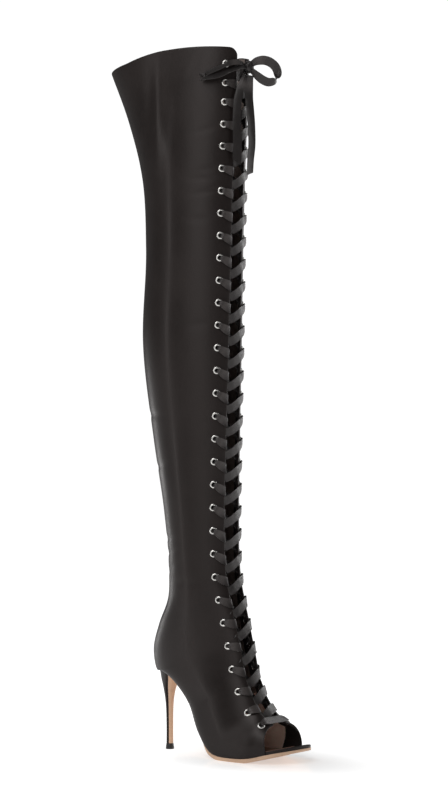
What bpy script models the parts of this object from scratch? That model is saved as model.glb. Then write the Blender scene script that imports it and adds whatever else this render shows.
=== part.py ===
"""A thigh-high lace-up boot for the right foot, with a peep toe and a stiletto heel, as separate solids.

Axes: +X to the toe, +Y to the medial (inner) side, +Z up. The origin is on the floor, under the ball of the
foot. The sizes in the tables are millimetres, and the whole boot is scaled to metres as it is built.

The upper is a loft through fanned sections. Each one lies in a plane that holds the Y direction, from a back
point (calf, heel or sole) to a front point (shin, instep or vamp). The insole, the outsole, the eyelet facings
and the lace follow the same sections, so that every piece meets its neighbour.
"""

import math
from collections import Counter, namedtuple

import bmesh
import bpy
import numpy as np
from mathutils import Vector

MM = 0.001

# Driving sizes, in millimetres
WALL = 1.6  # thickness of the upper
GAP = 0.3  # between pieces that meet
FACING_COLUMNS = (0.0, 8.5, 20.5, 26.0)  # from the throat's edge, along the surface
FACING_THICKNESS = 0.8
SIDE_COLUMNS = 7  # columns of the upper from the facing to the sole's edge
OUTSOLE_THICKNESS = 4.0
WAIST_THICKNESS = 2.5  # of the outsole, behind the tread
TREAD = (-10.0, 26.0)  # between these the outsole lies flat on the floor
OUTSOLE_OVERHANG = 0.6  # beyond the upper, ahead of the waist
INSOLE_THICKNESS = 3.5
INSOLE_INSET = 2.4  # from the upper's outside to the insole's edge
BREAST_FLAP = 1.2  # thickness of the outsole's tongue down the front of the heel
BREAST_X = -99.0  # where the outsole turns down the heel
TOP_PIECE_HEIGHT = 7.0
TOP_PIECE_FLARE = 0.9

EYELETS_PER_SIDE = 31
PITCH_GROWTH = 0.08  # of the distance between eyelets, from the collar to the toe
CLOSE_PITCHES = {0: 0.87, 1: 0.87, 29: 0.87}  # shares, by the eyelet above
LOWEST_EYELET = 9.5  # from the toe opening's rim to the lowest eyelet's middle
HIGHEST_EYELET = 19.0  # from the collar to the highest eyelet's middle
EYELET_INSET = 14.5  # from the throat's edge to an eyelet's middle
EYELET_BORE = 2.4  # radii
EYELET_BARREL = 2.9
EYELET_FLANGE = 4.7
EYELET_DOME = 1.3
FOOT_EYELETS = 11  # the lowest ones, each with a second row of faces

RIBBON_WIDTH = 10.0
RIBBON_THICKNESS = 0.9
RIBBON_CLEARANCE = 2.7  # from the upper's outside to the middle of the crossings
RIBBON_BULGE = 5.2  # of the crossings, forwards, over the open throat
CROSSING_OVERLAP = 4.0  # how far the crossings reach over the facings
CROSSING_REACH = 1.62  # from the middle to an eyelet, in widths from the middle to a crossing's end
CROSSING_HALF = 0.21  # half a ribbon's height, in eyelet pitches

# The sections, from the collar to the toe opening's rim. front and back are points in the side view, widest
# is where the section is widest (-1 back, 1 front) and square is its squareness (2 is an ellipse).
Section = namedtuple(
    "Section",
    "name front_x front_z back_x back_z half_width sole_lateral sole_medial "
    "widest square_front square_back shift_y half_gap",
)
SECTIONS = [
    Section("collar", -4, 848.5, -200, 837.5, 58, 3, 3, 0.00, 1.5, 2.1, 0, 10),
    Section("thigh", -7, 783.5, -171, 775.5, 56, 3, 3, 0.00, 1.5, 2.1, 0, 10),
    Section("above_knee", -11, 708.5, -148, 703.5, 53, 3, 3, 0.00, 1.5, 2.1, 0, 10),
    Section("knee", -14, 618.5, -142, 615.5, 51, 3, 3, 0.00, 1.5, 2.1, 0, 10),
    Section("calf", -17, 498.5, -147, 498.5, 51, 3, 3, 0.00, 1.5, 2.1, 0, 11),
    Section("low_calf", -20, 383.5, -131, 381.5, 45, 3, 3, 0.00, 1.5, 2.1, 0, 12),
    Section("above_ankle", -22, 293.5, -114, 288.5, 41, 3, 3, 0.00, 1.5, 2.1, 0, 13),
    Section("ankle", -21, 239.5, -108, 227.5, 39, 3, 3, 0.00, 1.5, 2.1, 0, 13),
    Section("achilles", -18, 211.5, -110, 187.5, 38, 3, 3, 0.05, 1.5, 2.1, 0, 13),
    Section("heel_top", -11, 183.5, -127, 153.5, 37, 3, 3, 0.08, 1.5, 2.1, 0, 13),
    Section("heel_bulge", -4, 157.5, -136, 123.5, 36, 4, 4, 0.05, 1.5, 2.1, 0, 13),
    Section("seat_rear", 2, 133.5, -128, 98.5, 35, 8, 8, 0.00, 1.5, 2.2, 0, 13),
    Section("seat", 6, 117.5, -113, 98.5, 35, 19, 19, -0.05, 1.5, 2.4, 0, 13),
    Section("seat_front", 9, 101.5, -94, 90.0, 35, 23, 23, -0.10, 1.5, 2.6, 0, 13),
    Section("waist", 15, 87.5, -68, 63.5, 35, 22, 20, -0.15, 1.5, 2.8, 0, 13),
    Section("waist_low", 21, 74.5, -48, 28, 37, 28, 24, -0.20, 1.5, 3.0, 0, 13),
    Section("ball_rear", 27, 64.5, -26, 8, 40, 36, 33, -0.35, 1.5, 3.0, 1, 13),
    Section("ball", 34, 55.5, 8, 4.3, 41, 39, 39, -0.45, 1.6, 3.0, 1, 13),
    Section("throat_end", 41, 49, 33, 6.2, 40, 37, 38.5, -0.45, 1.85, 3.0, 2, 12),
    Section("toe_rim", 48, 43.5, 54, 11.5, 36, 32, 36, -0.45, 2.1, 2.4, 3, 11),
]

# The sole ahead of the toe opening's rim, as a side view with the outline's two sides
Station = namedtuple("Station", "x z lateral medial")
TOE_STATIONS = [
    Station(61, 13.2, -28.5, 35.5),
    Station(68, 14.6, -22.5, 32.5),
    Station(75, 16.0, -14.5, 28.0),
    Station(80, 17.0, -5.5, 22.5),
    Station(82.5, 17.5, 3.0, 16.0),
]

# The heel, from the top piece upwards. middle_x is where it is widest, and front_x is the breast's face. The
# last ring lies against the seat, whose height it takes.
HeelRing = namedtuple("HeelRing", "z back_x middle_x front_x half_width")
HEEL_RINGS = [
    HeelRing(TOP_PIECE_HEIGHT + GAP, -123.2, -118.9, -114.6, 4.3),
    HeelRing(28, -123.2, -118.9, -114.6, 4.3),
    HeelRing(50, -123.9, -119.2, -114.3, 4.5),
    HeelRing(64, -125.3, -119.4, -113.2, 5.5),
    HeelRing(77, -127.4, -118.5, -110.6, 8.2),
    HeelRing(87, -128.9, -114.5, -106.6, 13.0),
    HeelRing(0, -128.6, -109.0, -101.4, 20.0),
]
HEEL_SIDES = 8  # steps round each half of a ring

# The bow's free runs of ribbon, from the knot outwards. width is the direction across the ribbon.
Run = namedtuple("Run", "name width points")
BOW = [
    Run("lace_loop_lateral", (0.1, 0.1, 1), [
        (1.8, -6.4, 827.6), (0.8, -11.4, 826.8), (-1.6, -17, 825), (-7.8, -23.9, 821.7),
        (-15.6, -27.6, 817.5), (-23.6, -33.6, 814.3), (-29.4, -37.4, 813), (-32.2, -41, 813.7),
        (-28.8, -43.4, 815.2), (-19.4, -38.2, 817.9), (-12, -31.7, 820.6), (-6.2, -25.9, 823.9),
        (-1.4, -20, 825.6), (2.6, -13.6, 826.4), (4.9, -8.8, 826.2),
    ]),
    Run("lace_loop_medial", (-0.35, 0.35, 0.85), [
        (9.7, 1.8, 831.1), (14, 4.5, 833.5), (20, 9.5, 834), (26, 14.5, 831.5), (31, 18.5, 825.5),
        (32.5, 20.5, 817.5), (29.5, 19.5, 810.5), (24, 14.4, 807.3), (19, 9.1, 809.4), (14.5, 4.2, 814.5),
        (10.6, 0.8, 819.5),
    ]),
    Run("lace_end_lateral", (0, 1, 0.1), [
        (4.4, -5.2, 816.8), (2.6, -8.6, 808), (0, -11.4, 797), (-1.2, -14, 784), (-2, -14.8, 766),
        (-1.4, -15, 748), (-1.2, -14.6, 730), (-1.6, -15, 711),
    ]),
    Run("lace_end_medial", (0, 1, -0.1), [
        (6.6, 1.5, 816.2), (3.2, 2.6, 806), (1.8, 3.8, 792), (2.6, 5.2, 776), (3.6, 6.4, 758),
        (4.2, 6.6, 735), (3, 5.6, 717), (2.4, 5, 699),
    ]),
]
KNOT_CENTRE = (5.6, -1.0, 826.0)
KNOT_SIZE = (9.5, 14.0, 19.0)

Colour = namedtuple("Colour", "red green blue roughness metallic")
COLOURS = {
    "black_leather": Colour(0.022, 0.020, 0.019, 0.55, 0.0),
    "tan_leather": Colour(0.60, 0.33, 0.20, 0.50, 0.0),
    "black_rubber": Colour(0.015, 0.015, 0.015, 0.60, 0.0),
    "black_satin": Colour(0.045, 0.042, 0.041, 0.40, 0.0),
    "black_lining": Colour(0.020, 0.018, 0.017, 0.70, 0.0),
}


# The sections as a continuous loft

FIELDS = Section._fields[1:]
TABLE = np.array([[getattr(section, field) for field in FIELDS] for section in SECTIONS], float)
FRONT_RUNS = np.linalg.norm(np.diff(TABLE[:, 0:2], axis=0), axis=1)
BACK_RUNS = np.linalg.norm(np.diff(TABLE[:, 2:4], axis=0), axis=1)
STATIONS = np.concatenate([[0.0], np.cumsum((FRONT_RUNS + BACK_RUNS) / 2)])
SLOPES = np.gradient(TABLE, STATIONS, axis=0)
SEAT_STATION = STATIONS[[section.name for section in SECTIONS].index("seat_rear")]


def section_at(station):
    """Return the section's named values at a station of the loft, on a cubic through the table's rows."""
    index = int(np.clip(np.searchsorted(STATIONS, station, "right") - 1, 0, len(STATIONS) - 2))
    run = STATIONS[index + 1] - STATIONS[index]
    t = (station - STATIONS[index]) / run
    values = (
        (2 * t**3 - 3 * t**2 + 1) * TABLE[index]
        + (t**3 - 2 * t**2 + t) * run * SLOPES[index]
        + (3 * t**2 - 2 * t**3) * TABLE[index + 1]
        + (t**3 - t**2) * run * SLOPES[index + 1]
    )
    row = dict(zip(FIELDS, values))
    row["on_sole"] = station > SEAT_STATION - 0.01
    return row


def side_curve(row, side, samples=40):
    """Return one side's outer curve, from the throat's edge to the sole's edge. side is -1 for lateral."""
    back = np.array([row["back_x"], row["back_z"]])
    front = np.array([row["front_x"], row["front_z"]])
    middle = 0.5 + 0.5 * row["widest"]
    width = row["half_width"]
    sole = (row["sole_medial"] if side > 0 else row["sole_lateral"]) - side * row["shift_y"]
    points = []
    for angle in np.linspace(0.0, math.pi, 2 * samples + 1):
        ahead = angle < math.pi / 2
        power = 2 / (row["square_front"] if ahead else row["square_back"])
        reach = (1 - middle) if ahead else -middle
        end = row["half_gap"] if ahead else sole
        along = middle + reach * abs(math.cos(angle)) ** power
        out = end + (width - end) * math.sin(angle) ** power if 0 < angle < math.pi else end
        x, z = back + (front - back) * along
        points.append((x, row["shift_y"] + side * out, z))
    return np.array(points)


def column_points(curve):
    """Return the curve's points at the facing's columns and then at even turns to the sole's edge."""
    length = np.concatenate([[0.0], np.cumsum(np.linalg.norm(np.diff(curve, axis=0), axis=1))])
    place = np.arange(len(curve), dtype=float)
    facing = np.interp(FACING_COLUMNS, length, place)
    rest = np.linspace(facing[-1], place[-1], SIDE_COLUMNS + 1)[1:]
    columns = np.concatenate([facing, rest])
    return np.column_stack([np.interp(columns, place, curve[:, axis]) for axis in range(3)])


# The upper's sheet: rows of points, lateral side first, both sides running from the throat to the sole

def eyelet_places(length):
    """Return each eyelet's distance down a line of that length."""
    pitches = 1 + PITCH_GROWTH * np.linspace(-0.5, 0.5, EYELETS_PER_SIDE - 1)
    for eyelet, share in CLOSE_PITCHES.items():
        pitches[eyelet] *= share
    places = np.concatenate([[0.0], np.cumsum(pitches)]) / np.sum(pitches)
    return HIGHEST_EYELET + places * (length - LOWEST_EYELET - HIGHEST_EYELET)


def plan_rows():
    """Return the rows' stations, and each eyelet's first and last row. Each eyelet has its own stretch of rows."""
    fine = np.linspace(0.0, STATIONS[-1], 300)
    line = [side_curve(section_at(station), -1) for station in fine]
    line = np.array([curve[np.searchsorted(curve_length(curve), EYELET_INSET)] for curve in line])
    length = curve_length(line)
    eyelets = np.interp(eyelet_places(length[-1]), length, fine)
    bounds = np.concatenate([[0.0], (eyelets[1:] + eyelets[:-1]) / 2, [STATIONS[-1]]])
    stations, spans = [0.0], []
    for index in range(EYELETS_PER_SIDE):
        first = len(stations) - 1
        if index >= EYELETS_PER_SIDE - FOOT_EYELETS:
            stations.append(eyelets[index])
        stations.append(bounds[index + 1])
        spans.append((first, len(stations) - 1))
    nearest = int(np.argmin(np.abs(np.array(stations) - SEAT_STATION)))
    stations[nearest] = SEAT_STATION
    return stations, spans


def curve_length(points):
    """Return the length along points, from the first one."""
    return np.concatenate([[0.0], np.cumsum(np.linalg.norm(np.diff(points, axis=0), axis=1))])


def build_sheet(rows):
    """Return the outer points by [side][row, column]."""
    return [np.array([column_points(side_curve(row, side)) for row in rows]) for side in (-1, 1)]


def in_hole_column(column):
    return column == 1


HOLE_TURNS = [math.radians(angle) for angle in (90, 30, -30, -90, -150, 150)]
# Faces between a stretch's outline (four corners, or six points on the foot) and the hole's six points,
# all in the order of the turns. The outline's numbers are 0 up, and the hole's are 10 up.
PLAIN_STRETCH = [(0, 1, 10), (1, 11, 10), (1, 2, 12, 11), (2, 13, 12),
                 (2, 3, 13), (3, 14, 13), (3, 0, 15, 14), (0, 10, 15)]
FOOT_STRETCH = [(0, 1, 10), (1, 11, 10), (1, 2, 11), (2, 12, 11), (2, 3, 12), (3, 13, 12),
                (3, 4, 13), (4, 14, 13), (4, 5, 14), (5, 15, 14), (5, 0, 15), (0, 10, 15)]


def stretch_faces(side, eyelet, first, last):
    """Return the faces round one eyelet's hole, between the second and third columns."""
    outline = [(side, first, 1), (side, first, 2)]
    outline += [(side, row, 2) for row in range(first + 1, last)]
    outline += [(side, last, 2), (side, last, 1)]
    outline += [(side, row, 1) for row in range(last - 1, first, -1)]
    number = dict(enumerate(outline))
    number.update({10 + turn: ("hole", side, eyelet, turn) for turn in range(6)})
    pattern = FOOT_STRETCH if last - first == 2 else PLAIN_STRETCH
    return [[number[index] for index in face] for face in pattern]


def sheet_faces(rows, spans, side, columns):
    """Return one side's quads from the throat to a column, with a hole for each eyelet."""
    faces = []
    for row in range(len(rows) - 1):
        for column in range(columns):
            if not in_hole_column(column):
                faces.append([(side, row, column), (side, row, column + 1),
                              (side, row + 1, column + 1), (side, row + 1, column)])
    for eyelet, (first, last) in enumerate(spans):
        faces += stretch_faces(side, eyelet, first, last)
    return faces


def back_faces(rows, last):
    """Return the quads that close the back, above the seat."""
    return [
        [(0, row, last), (1, row, last), (1, row + 1, last), (0, row + 1, last)]
        for row in range(len(rows) - 1)
        if not (rows[row]["on_sole"] and rows[row + 1]["on_sole"])
    ]


def sheet_normals(sheet, rows):
    """Return each point's outward normal, lengthened so that moved faces keep an even distance."""
    last = sheet[0].shape[1] - 1
    faces = [
        [(side, row, column), (side, row, column + 1), (side, row + 1, column + 1), (side, row + 1, column)]
        for side in (0, 1) for row in range(len(rows) - 1) for column in range(last)
    ]
    normals = {}
    for face in faces + back_faces(rows, last):
        a, b, c, d = (sheet[side][row, column] for side, row, column in face)
        normal = np.cross(c - a, d - b)
        faces_in = face[0][0] == 1
        normal /= np.linalg.norm(normal) * (-1 if faces_in else 1)
        for key in face:
            normals.setdefault(key, []).append(normal)
    result = [np.zeros_like(side) for side in sheet]
    for (side, row, column), around in normals.items():
        mean = np.sum(around, axis=0)
        mean /= np.linalg.norm(mean)
        result[side][row, column] = mean / np.mean([np.dot(mean, normal) for normal in around])
    return result


def moved(sheet, normals, distance):
    """Return the sheet moved outwards by distance."""
    return [points + normal * distance for points, normal in zip(sheet, normals)]


def on_sheet(points, row, column):
    """Return the point of one side at a fractional row and column."""
    top = min(int(row), len(points) - 2)
    left = min(int(column), points.shape[1] - 2)
    down, across = row - top, column - left
    upper_edge = points[top, left] * (1 - across) + points[top, left + 1] * across
    lower_edge = points[top + 1, left] * (1 - across) + points[top + 1, left + 1] * across
    return upper_edge * (1 - down) + lower_edge * down


def eyelet_frames(sheet, spans):
    """Return the middle, and the across, along and outward directions, of each eyelet by (side, eyelet)."""
    frames = {}
    inset = 1 + (EYELET_INSET - FACING_COLUMNS[1]) / (FACING_COLUMNS[2] - FACING_COLUMNS[1])
    for side in (0, 1):
        for eyelet, (first, last) in enumerate(spans):
            middle = on_sheet(sheet[side], (first + last) / 2, inset)
            along = on_sheet(sheet[side], first, inset) - on_sheet(sheet[side], last, inset)
            across = on_sheet(sheet[side], (first + last) / 2, 2) - on_sheet(sheet[side], (first + last) / 2, 1)
            turn = -1 if side == 0 else 1
            outward = np.cross(across, along) * turn
            outward /= np.linalg.norm(outward)
            across /= np.linalg.norm(across)
            along = np.cross(outward, across) * turn
            frames[side, eyelet] = (middle, across, along, outward)
    return frames


def ring_point(frame, turn, radius, height):
    """Return a point of a six-sided ring about an eyelet's middle."""
    middle, across, along, outward = frame
    angle = HOLE_TURNS[turn]
    return middle + (across * math.cos(angle) + along * math.sin(angle)) * radius + outward * height


# Meshes

def make_material(name):
    colour = COLOURS[name]
    material = bpy.data.materials.new(name)
    material.use_nodes = True
    shader = material.node_tree.nodes["Principled BSDF"]
    shader.inputs["Base Color"].default_value = (colour.red, colour.green, colour.blue, 1.0)
    shader.inputs["Roughness"].default_value = colour.roughness
    shader.inputs["Metallic"].default_value = colour.metallic
    return material


def make_object(name, vertices, faces, material=None):
    """Return an object whose mesh is triangulated and faces outwards, from points in millimetres."""
    mesh = bpy.data.meshes.new(name)
    mesh.from_pydata([Vector(point) * MM for point in vertices], [], faces)
    model = bmesh.new()
    model.from_mesh(mesh)
    bmesh.ops.triangulate(model, faces=model.faces)
    bmesh.ops.recalc_face_normals(model, faces=model.faces)
    model.to_mesh(mesh)
    model.free()
    if material:
        mesh.materials.append(material)
    made = bpy.data.objects.new(name, mesh)
    bpy.context.scene.collection.objects.link(made)
    return made


def thicken(name, faces, levels, material):
    """Return a closed solid from a sheet's faces. levels gives a key's points, from the outside to the inside.

    Along the sheet's edges and holes the wall runs through all of a key's points.
    """
    points, number = [], {}
    edges = Counter()
    for face in faces:
        for start, end in zip(face, face[1:] + face[:1]):
            edges[frozenset((start, end))] += 1
            if start not in number:
                chain = levels(start)
                number[start] = range(len(points), len(points) + len(chain))
                points += chain
    solid = []
    for face in faces:
        solid.append([number[key][0] for key in face])
        solid.append([number[key][-1] for key in reversed(face)])
        for start, end in zip(face, face[1:] + face[:1]):
            if edges[frozenset((start, end))] == 1:
                walls = zip(number[start], number[start][1:], number[end], number[end][1:])
                solid += [[b, a, c, d] for a, c, b, d in walls]
    return make_object(name, points, solid, material)


def loft(name, rings, material):
    """Return a closed solid through rings of equal length, with flat ends."""
    size = len(rings[0])
    points = [point for ring in rings for point in ring]
    faces = []
    for index in range(len(rings) - 1):
        low, high = index * size, (index + 1) * size
        for step in range(size):
            after = (step + 1) % size
            faces.append([low + step, low + after, high + after, high + step])
    faces.append(list(range(size)))
    faces.append([(len(rings) - 1) * size + step for step in range(size)])
    return make_object(name, points, faces, material)


# Pieces

def build_upper(sheet, normals, rows, spans, frames, material):
    """Return the upper, one wall from the lateral edge of the throat round the heel to the medial edge."""
    inner = moved(sheet, normals, -WALL)
    radius = EYELET_BARREL + GAP / math.cos(math.pi / 6)
    last = sheet[0].shape[1] - 1
    faces = sheet_faces(rows, spans, 0, last) + sheet_faces(rows, spans, 1, last) + back_faces(rows, last)

    def levels(key):
        if key[0] == "hole":
            frame = frames[key[1], key[2]]
            return [ring_point(frame, key[3], radius, 0.0), ring_point(frame, key[3], radius, -WALL)]
        return [sheet[key[0]][key[1], key[2]], inner[key[0]][key[1], key[2]]]

    return thicken("upper", faces, levels, material)


def build_facing(name, side, sheet, normals, rows, spans, frames, material):
    """Return the band inside the throat's edge with its eyelets, whose barrels go through the upper."""
    outer_depth = -(WALL + GAP)
    inner_depth = outer_depth - FACING_THICKNESS
    outer = moved(sheet, normals, outer_depth)[side]
    inner = moved(sheet, normals, inner_depth)[side]

    def levels(key):
        if key[0] == "hole":
            profile = [(EYELET_BARREL, outer_depth), (EYELET_BARREL, GAP), (EYELET_FLANGE, GAP),
                       (EYELET_BORE, GAP + EYELET_DOME), (EYELET_BORE, inner_depth)]
            return [ring_point(frames[key[1], key[2]], key[3], radius, height) for radius, height in profile]
        return [outer[key[1], key[2]], inner[key[1], key[2]]]

    return thicken(name, sheet_faces(rows, spans, side, len(FACING_COLUMNS) - 1), levels, material)


def feather_line(rows):
    """Return the sole's side view and outline along the upper, back to front: x, z, lateral, medial."""
    return [Station(row["back_x"], row["back_z"], -row["sole_lateral"], row["sole_medial"])
            for row in rows if row["on_sole"]]


def height_at(stations, x):
    return float(np.interp(x, [station.x for station in stations], [station.z for station in stations]))


def station_at(stations, x):
    """Return the station at x, between two of a line's."""
    known = [station.x for station in stations]
    values = zip(*(station[1:] for station in stations))
    return Station(x, *(float(np.interp(x, known, column)) for column in values))


def plate(name, stations, tops, bottoms, material):
    """Return a flat-across solid along stations, with a height for its top and bottom at each."""
    rings = []
    for station, top, bottom in zip(stations, tops, bottoms):
        rings.append([
            (station.x, station.lateral, top), (station.x, station.medial, top),
            (station.x, station.medial, bottom), (station.x, station.lateral, bottom),
        ])
    return loft(name, rings, material)


def build_insole(feather, material):
    """Return the footbed: inside the upper's wall, and as wide as the sole ahead of the toe opening."""
    inside = [Station(s.x, s.z, s.lateral + INSOLE_INSET, s.medial - INSOLE_INSET) for s in feather]
    heel_end = inside[0].x + INSOLE_INSET
    rim = feather[-1]
    stations = [Station(heel_end, height_at(feather, heel_end), *inside[0][2:])] + inside[1:]
    stations += [Station(rim.x + 2 * GAP, rim.z + 0.1, rim.lateral, rim.medial)] + TOE_STATIONS
    tops = [station.z + INSOLE_THICKNESS for station in stations]
    bottoms = [station.z + 0.05 for station in stations]
    return plate("insole", stations, tops, bottoms, material)


def heel_ring_points(ring, inset, angles, height=None):
    """Return a ring's points at angles from the front, moved in by inset."""
    points = []
    for angle in angles:
        reach = ring.front_x - ring.middle_x if math.cos(angle) > 0 else ring.middle_x - ring.back_x
        x = ring.middle_x + (reach - inset) * math.cos(angle)
        y = (ring.half_width - inset) * math.sin(angle)
        points.append((x, y, height(x) if height else ring.z))
    return points


def build_outsole(feather, material):
    """Return the outsole: flat under the tread, thin at the waist, and turned down the heel's breast."""
    stations = [Station(BREAST_X, height_at(feather, BREAST_X), -19.5, 19.5)]
    line = feather + TOE_STATIONS
    for station in sorted(line + [station_at(line, x) for x in TREAD]):
        if station.x > BREAST_X + 1:
            overhang = OUTSOLE_OVERHANG if station.x > -40 else -1.0
            stations.append(Station(station.x, station.z, station.lateral - overhang,
                                    station.medial + overhang))
    across = np.linspace(-1, 1, HEEL_SIDES - 1)
    inner, outer = [], []
    angles = across * (math.pi / 2 - math.pi / HEEL_SIDES)
    for ring in HEEL_RINGS[:-1]:
        inner.append(heel_ring_points(ring, BREAST_FLAP, angles))
        outer.append(heel_ring_points(ring, 0.0, angles))
    seat_ring = HEEL_RINGS[-1]
    inner.append(heel_ring_points(seat_ring, BREAST_FLAP, angles, lambda x: height_at(feather, x) - GAP))
    outer.append(heel_ring_points(seat_ring, 0.0, angles,
                                  lambda x: height_at(feather, x) - GAP - WAIST_THICKNESS))
    for station in stations:
        thickness = OUTSOLE_THICKNESS if station.x > -40 else WAIST_THICKNESS
        top = station.z - GAP
        bottom = top - thickness
        bottom = 0.0 if TREAD[0] <= station.x <= TREAD[1] else bottom
        middle = (station.lateral + station.medial) / 2
        half = (station.medial - station.lateral) / 2
        inner.append([(station.x, middle + half * step, top) for step in across])
        outer.append([(station.x, middle + half * step, bottom) for step in across])
    faces = [
        [(row, column), (row, column + 1), (row + 1, column + 1), (row + 1, column)]
        for row in range(len(inner) - 1) for column in range(len(across) - 1)
    ]
    return thicken("outsole", faces, lambda key: [outer[key[0]][key[1]], inner[key[0]][key[1]]], material)


def build_heel(feather, material):
    """Return the covered heel, recessed at its front for the outsole's tongue."""
    behind = np.linspace(math.pi / 2, 3 * math.pi / 2, HEEL_SIDES + 1)
    ahead = np.linspace(-math.pi / 2, math.pi / 2, HEEL_SIDES + 1)
    rings = []
    for index, ring in enumerate(HEEL_RINGS):
        seat = (lambda x: height_at(feather, x) - GAP) if index == len(HEEL_RINGS) - 1 else None
        rings.append(heel_ring_points(ring, 0.0, behind, seat)
                     + heel_ring_points(ring, BREAST_FLAP + GAP, ahead, seat))
    return loft("heel", rings, material)


def build_top_piece(material):
    """Return the hard tip that the heel stands on."""
    ring = HEEL_RINGS[0]
    angles = np.linspace(0, math.tau, 2 * HEEL_SIDES, endpoint=False)
    rings = []
    for height, flare in ((0.0, TOP_PIECE_FLARE), (TOP_PIECE_HEIGHT, 0.0)):
        rings.append(heel_ring_points(ring, -flare, angles, lambda x, level=height: level))
    return loft("top_piece", rings, material)


def crossing_plan():
    """Return the lattice's faces and each key's place: across (-1 and 1 at its ends) and down, in pitches.

    Each ribbon runs straight from an eyelet to the next lower one opposite. Two of them cross in a lozenge, and
    those of neighbouring crossings meet in a triangle over each facing.
    """
    fall = 1 / (2 * CROSSING_REACH)  # pitches down for each width across
    notch = CROSSING_REACH - CROSSING_HALF / fall
    tip = fall * (CROSSING_REACH - 1) + CROSSING_HALF
    place, faces = {}, []
    for eyelet in range(EYELETS_PER_SIDE):
        for side in (-1, 1):
            place["top", side, eyelet] = (side, eyelet - tip)
            place["notch", side, eyelet] = (side * notch, eyelet)
            place["foot", side, eyelet] = (side, eyelet + tip)
            faces.append([("top", side, eyelet), ("notch", side, eyelet), ("foot", side, eyelet)])
    for eyelet in range(EYELETS_PER_SIDE - 1):
        middle = eyelet + 0.5
        place["above", 0, eyelet] = (0, middle - CROSSING_HALF)
        place["below", 0, eyelet] = (0, middle + CROSSING_HALF)
        for side in (-1, 1):
            place["beside", side, eyelet] = (side * CROSSING_HALF / fall, middle)
            faces.append([("notch", side, eyelet), ("above", 0, eyelet),
                          ("beside", side, eyelet), ("foot", side, eyelet)])
            faces.append([("beside", side, eyelet), ("below", 0, eyelet),
                          ("notch", side, eyelet + 1), ("top", side, eyelet + 1)])
        faces.append([("above", 0, eyelet), ("beside", 1, eyelet), ("below", 0, eyelet), ("beside", -1, eyelet)])
    last = EYELETS_PER_SIDE - 1
    faces.append([("notch", -1, last), ("notch", 1, last), ("foot", 1, last), ("foot", -1, last)])
    return faces, place


def build_crossings(sheet, normals, spans, material):
    """Return the criss-crossed lace as one lattice, clear of the upper and the eyelets."""
    outside = moved(sheet, normals, RIBBON_CLEARANCE)
    column = CROSSING_OVERLAP / FACING_COLUMNS[1]
    middles = [(first + last) / 2 for first, last in spans]
    faces, place = crossing_plan()

    def on_lace(across, down):
        row = float(np.interp(down, np.arange(EYELETS_PER_SIDE), middles))
        row += max(0.0, down - EYELETS_PER_SIDE + 1) * 2 + min(0.0, down)
        lateral, medial = (on_sheet(points, row, column) for points in outside)
        span = medial - lateral
        low, high = (on_sheet(points, row - 0.4, 0) for points in outside)
        along = (on_sheet(outside[0], row + 0.4, 0) + on_sheet(outside[1], row + 0.4, 0) - low - high)
        forward = np.cross(along, span)
        forward /= np.linalg.norm(forward)
        point = lateral + span * (1 + across) / 2 + forward * RIBBON_BULGE * (1 - across**2)
        return point, forward

    def levels(key):
        point, forward = on_lace(*place[key])
        return [point + forward * RIBBON_THICKNESS / 2, point - forward * RIBBON_THICKNESS / 2]

    return thicken("lace_crossings", faces, levels, material)


def smooth_path(points, steps=2):
    """Return a Catmull-Rom path through points."""
    points = [np.array(point, float) for point in points]
    padded = [2 * points[0] - points[1]] + points + [2 * points[-1] - points[-2]]
    path = []
    for a, b, c, d in zip(padded, padded[1:], padded[2:], padded[3:]):
        for step in range(steps):
            t = step / steps
            path.append(0.5 * (2 * b + (c - a) * t + (2 * a - 5 * b + 4 * c - d) * t**2
                               + (3 * b - a - 3 * c + d) * t**3))
    path.append(points[-1])
    return path


def build_run(run, material):
    """Return one free run of the ribbon, as a flat strip along its path."""
    path = smooth_path(run.points)
    rings = []
    for index, point in enumerate(path):
        heading = path[min(index + 1, len(path) - 1)] - path[max(index - 1, 0)]
        heading /= np.linalg.norm(heading)
        across = np.array(run.width, float)
        across -= heading * np.dot(across, heading)
        across *= RIBBON_WIDTH / 2 / np.linalg.norm(across)
        through = np.cross(heading, across)
        through *= RIBBON_THICKNESS / 2 / np.linalg.norm(through)
        rings.append([point - across - through, point + across - through,
                      point + across + through, point - across + through])
    return loft(run.name, rings, material)


def build_knot(material):
    """Return the bow's knot, a rounded block."""
    model = bmesh.new()
    bmesh.ops.create_icosphere(model, subdivisions=2, radius=0.5)
    points = [tuple(np.array(vertex.co) * KNOT_SIZE + KNOT_CENTRE) for vertex in model.verts]
    faces = [[vertex.index for vertex in face.verts] for face in model.faces]
    model.free()
    return make_object("lace_knot", points, faces, material)


def main():
    for item in list(bpy.data.objects):
        bpy.data.objects.remove(item, do_unlink=True)
    materials = {name: make_material(name) for name in COLOURS}
    stations, spans = plan_rows()
    rows = [section_at(station) for station in stations]
    sheet = build_sheet(rows)
    normals = sheet_normals(sheet, rows)
    frames = eyelet_frames(sheet, spans)
    feather = feather_line(rows)

    build_upper(sheet, normals, rows, spans, frames, materials["black_leather"])
    for side, name in enumerate(("facing_lateral", "facing_medial")):
        build_facing(name, side, sheet, normals, rows, spans, frames, materials["black_lining"])
    build_insole(feather, materials["tan_leather"])
    build_outsole(feather, materials["tan_leather"])
    build_heel(feather, materials["black_leather"])
    build_top_piece(materials["black_rubber"])
    build_crossings(sheet, normals, spans, materials["black_satin"])
    build_knot(materials["black_satin"])
    for run in BOW:
        build_run(run, materials["black_satin"])


main()
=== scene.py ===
"""A thigh-high lace-up boot for the right foot, as finished: leather, lining, eyelets, ribbon and sole.

Axes: +X to the toe, +Y to the medial (inner) side, +Z up, with the floor at 0. The tables are in millimetres,
and MM turns them to metres as the meshes are made. The upper is a loft through fanned sections, and every
other piece takes its place from that loft.
"""

import math
from collections import namedtuple

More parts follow.
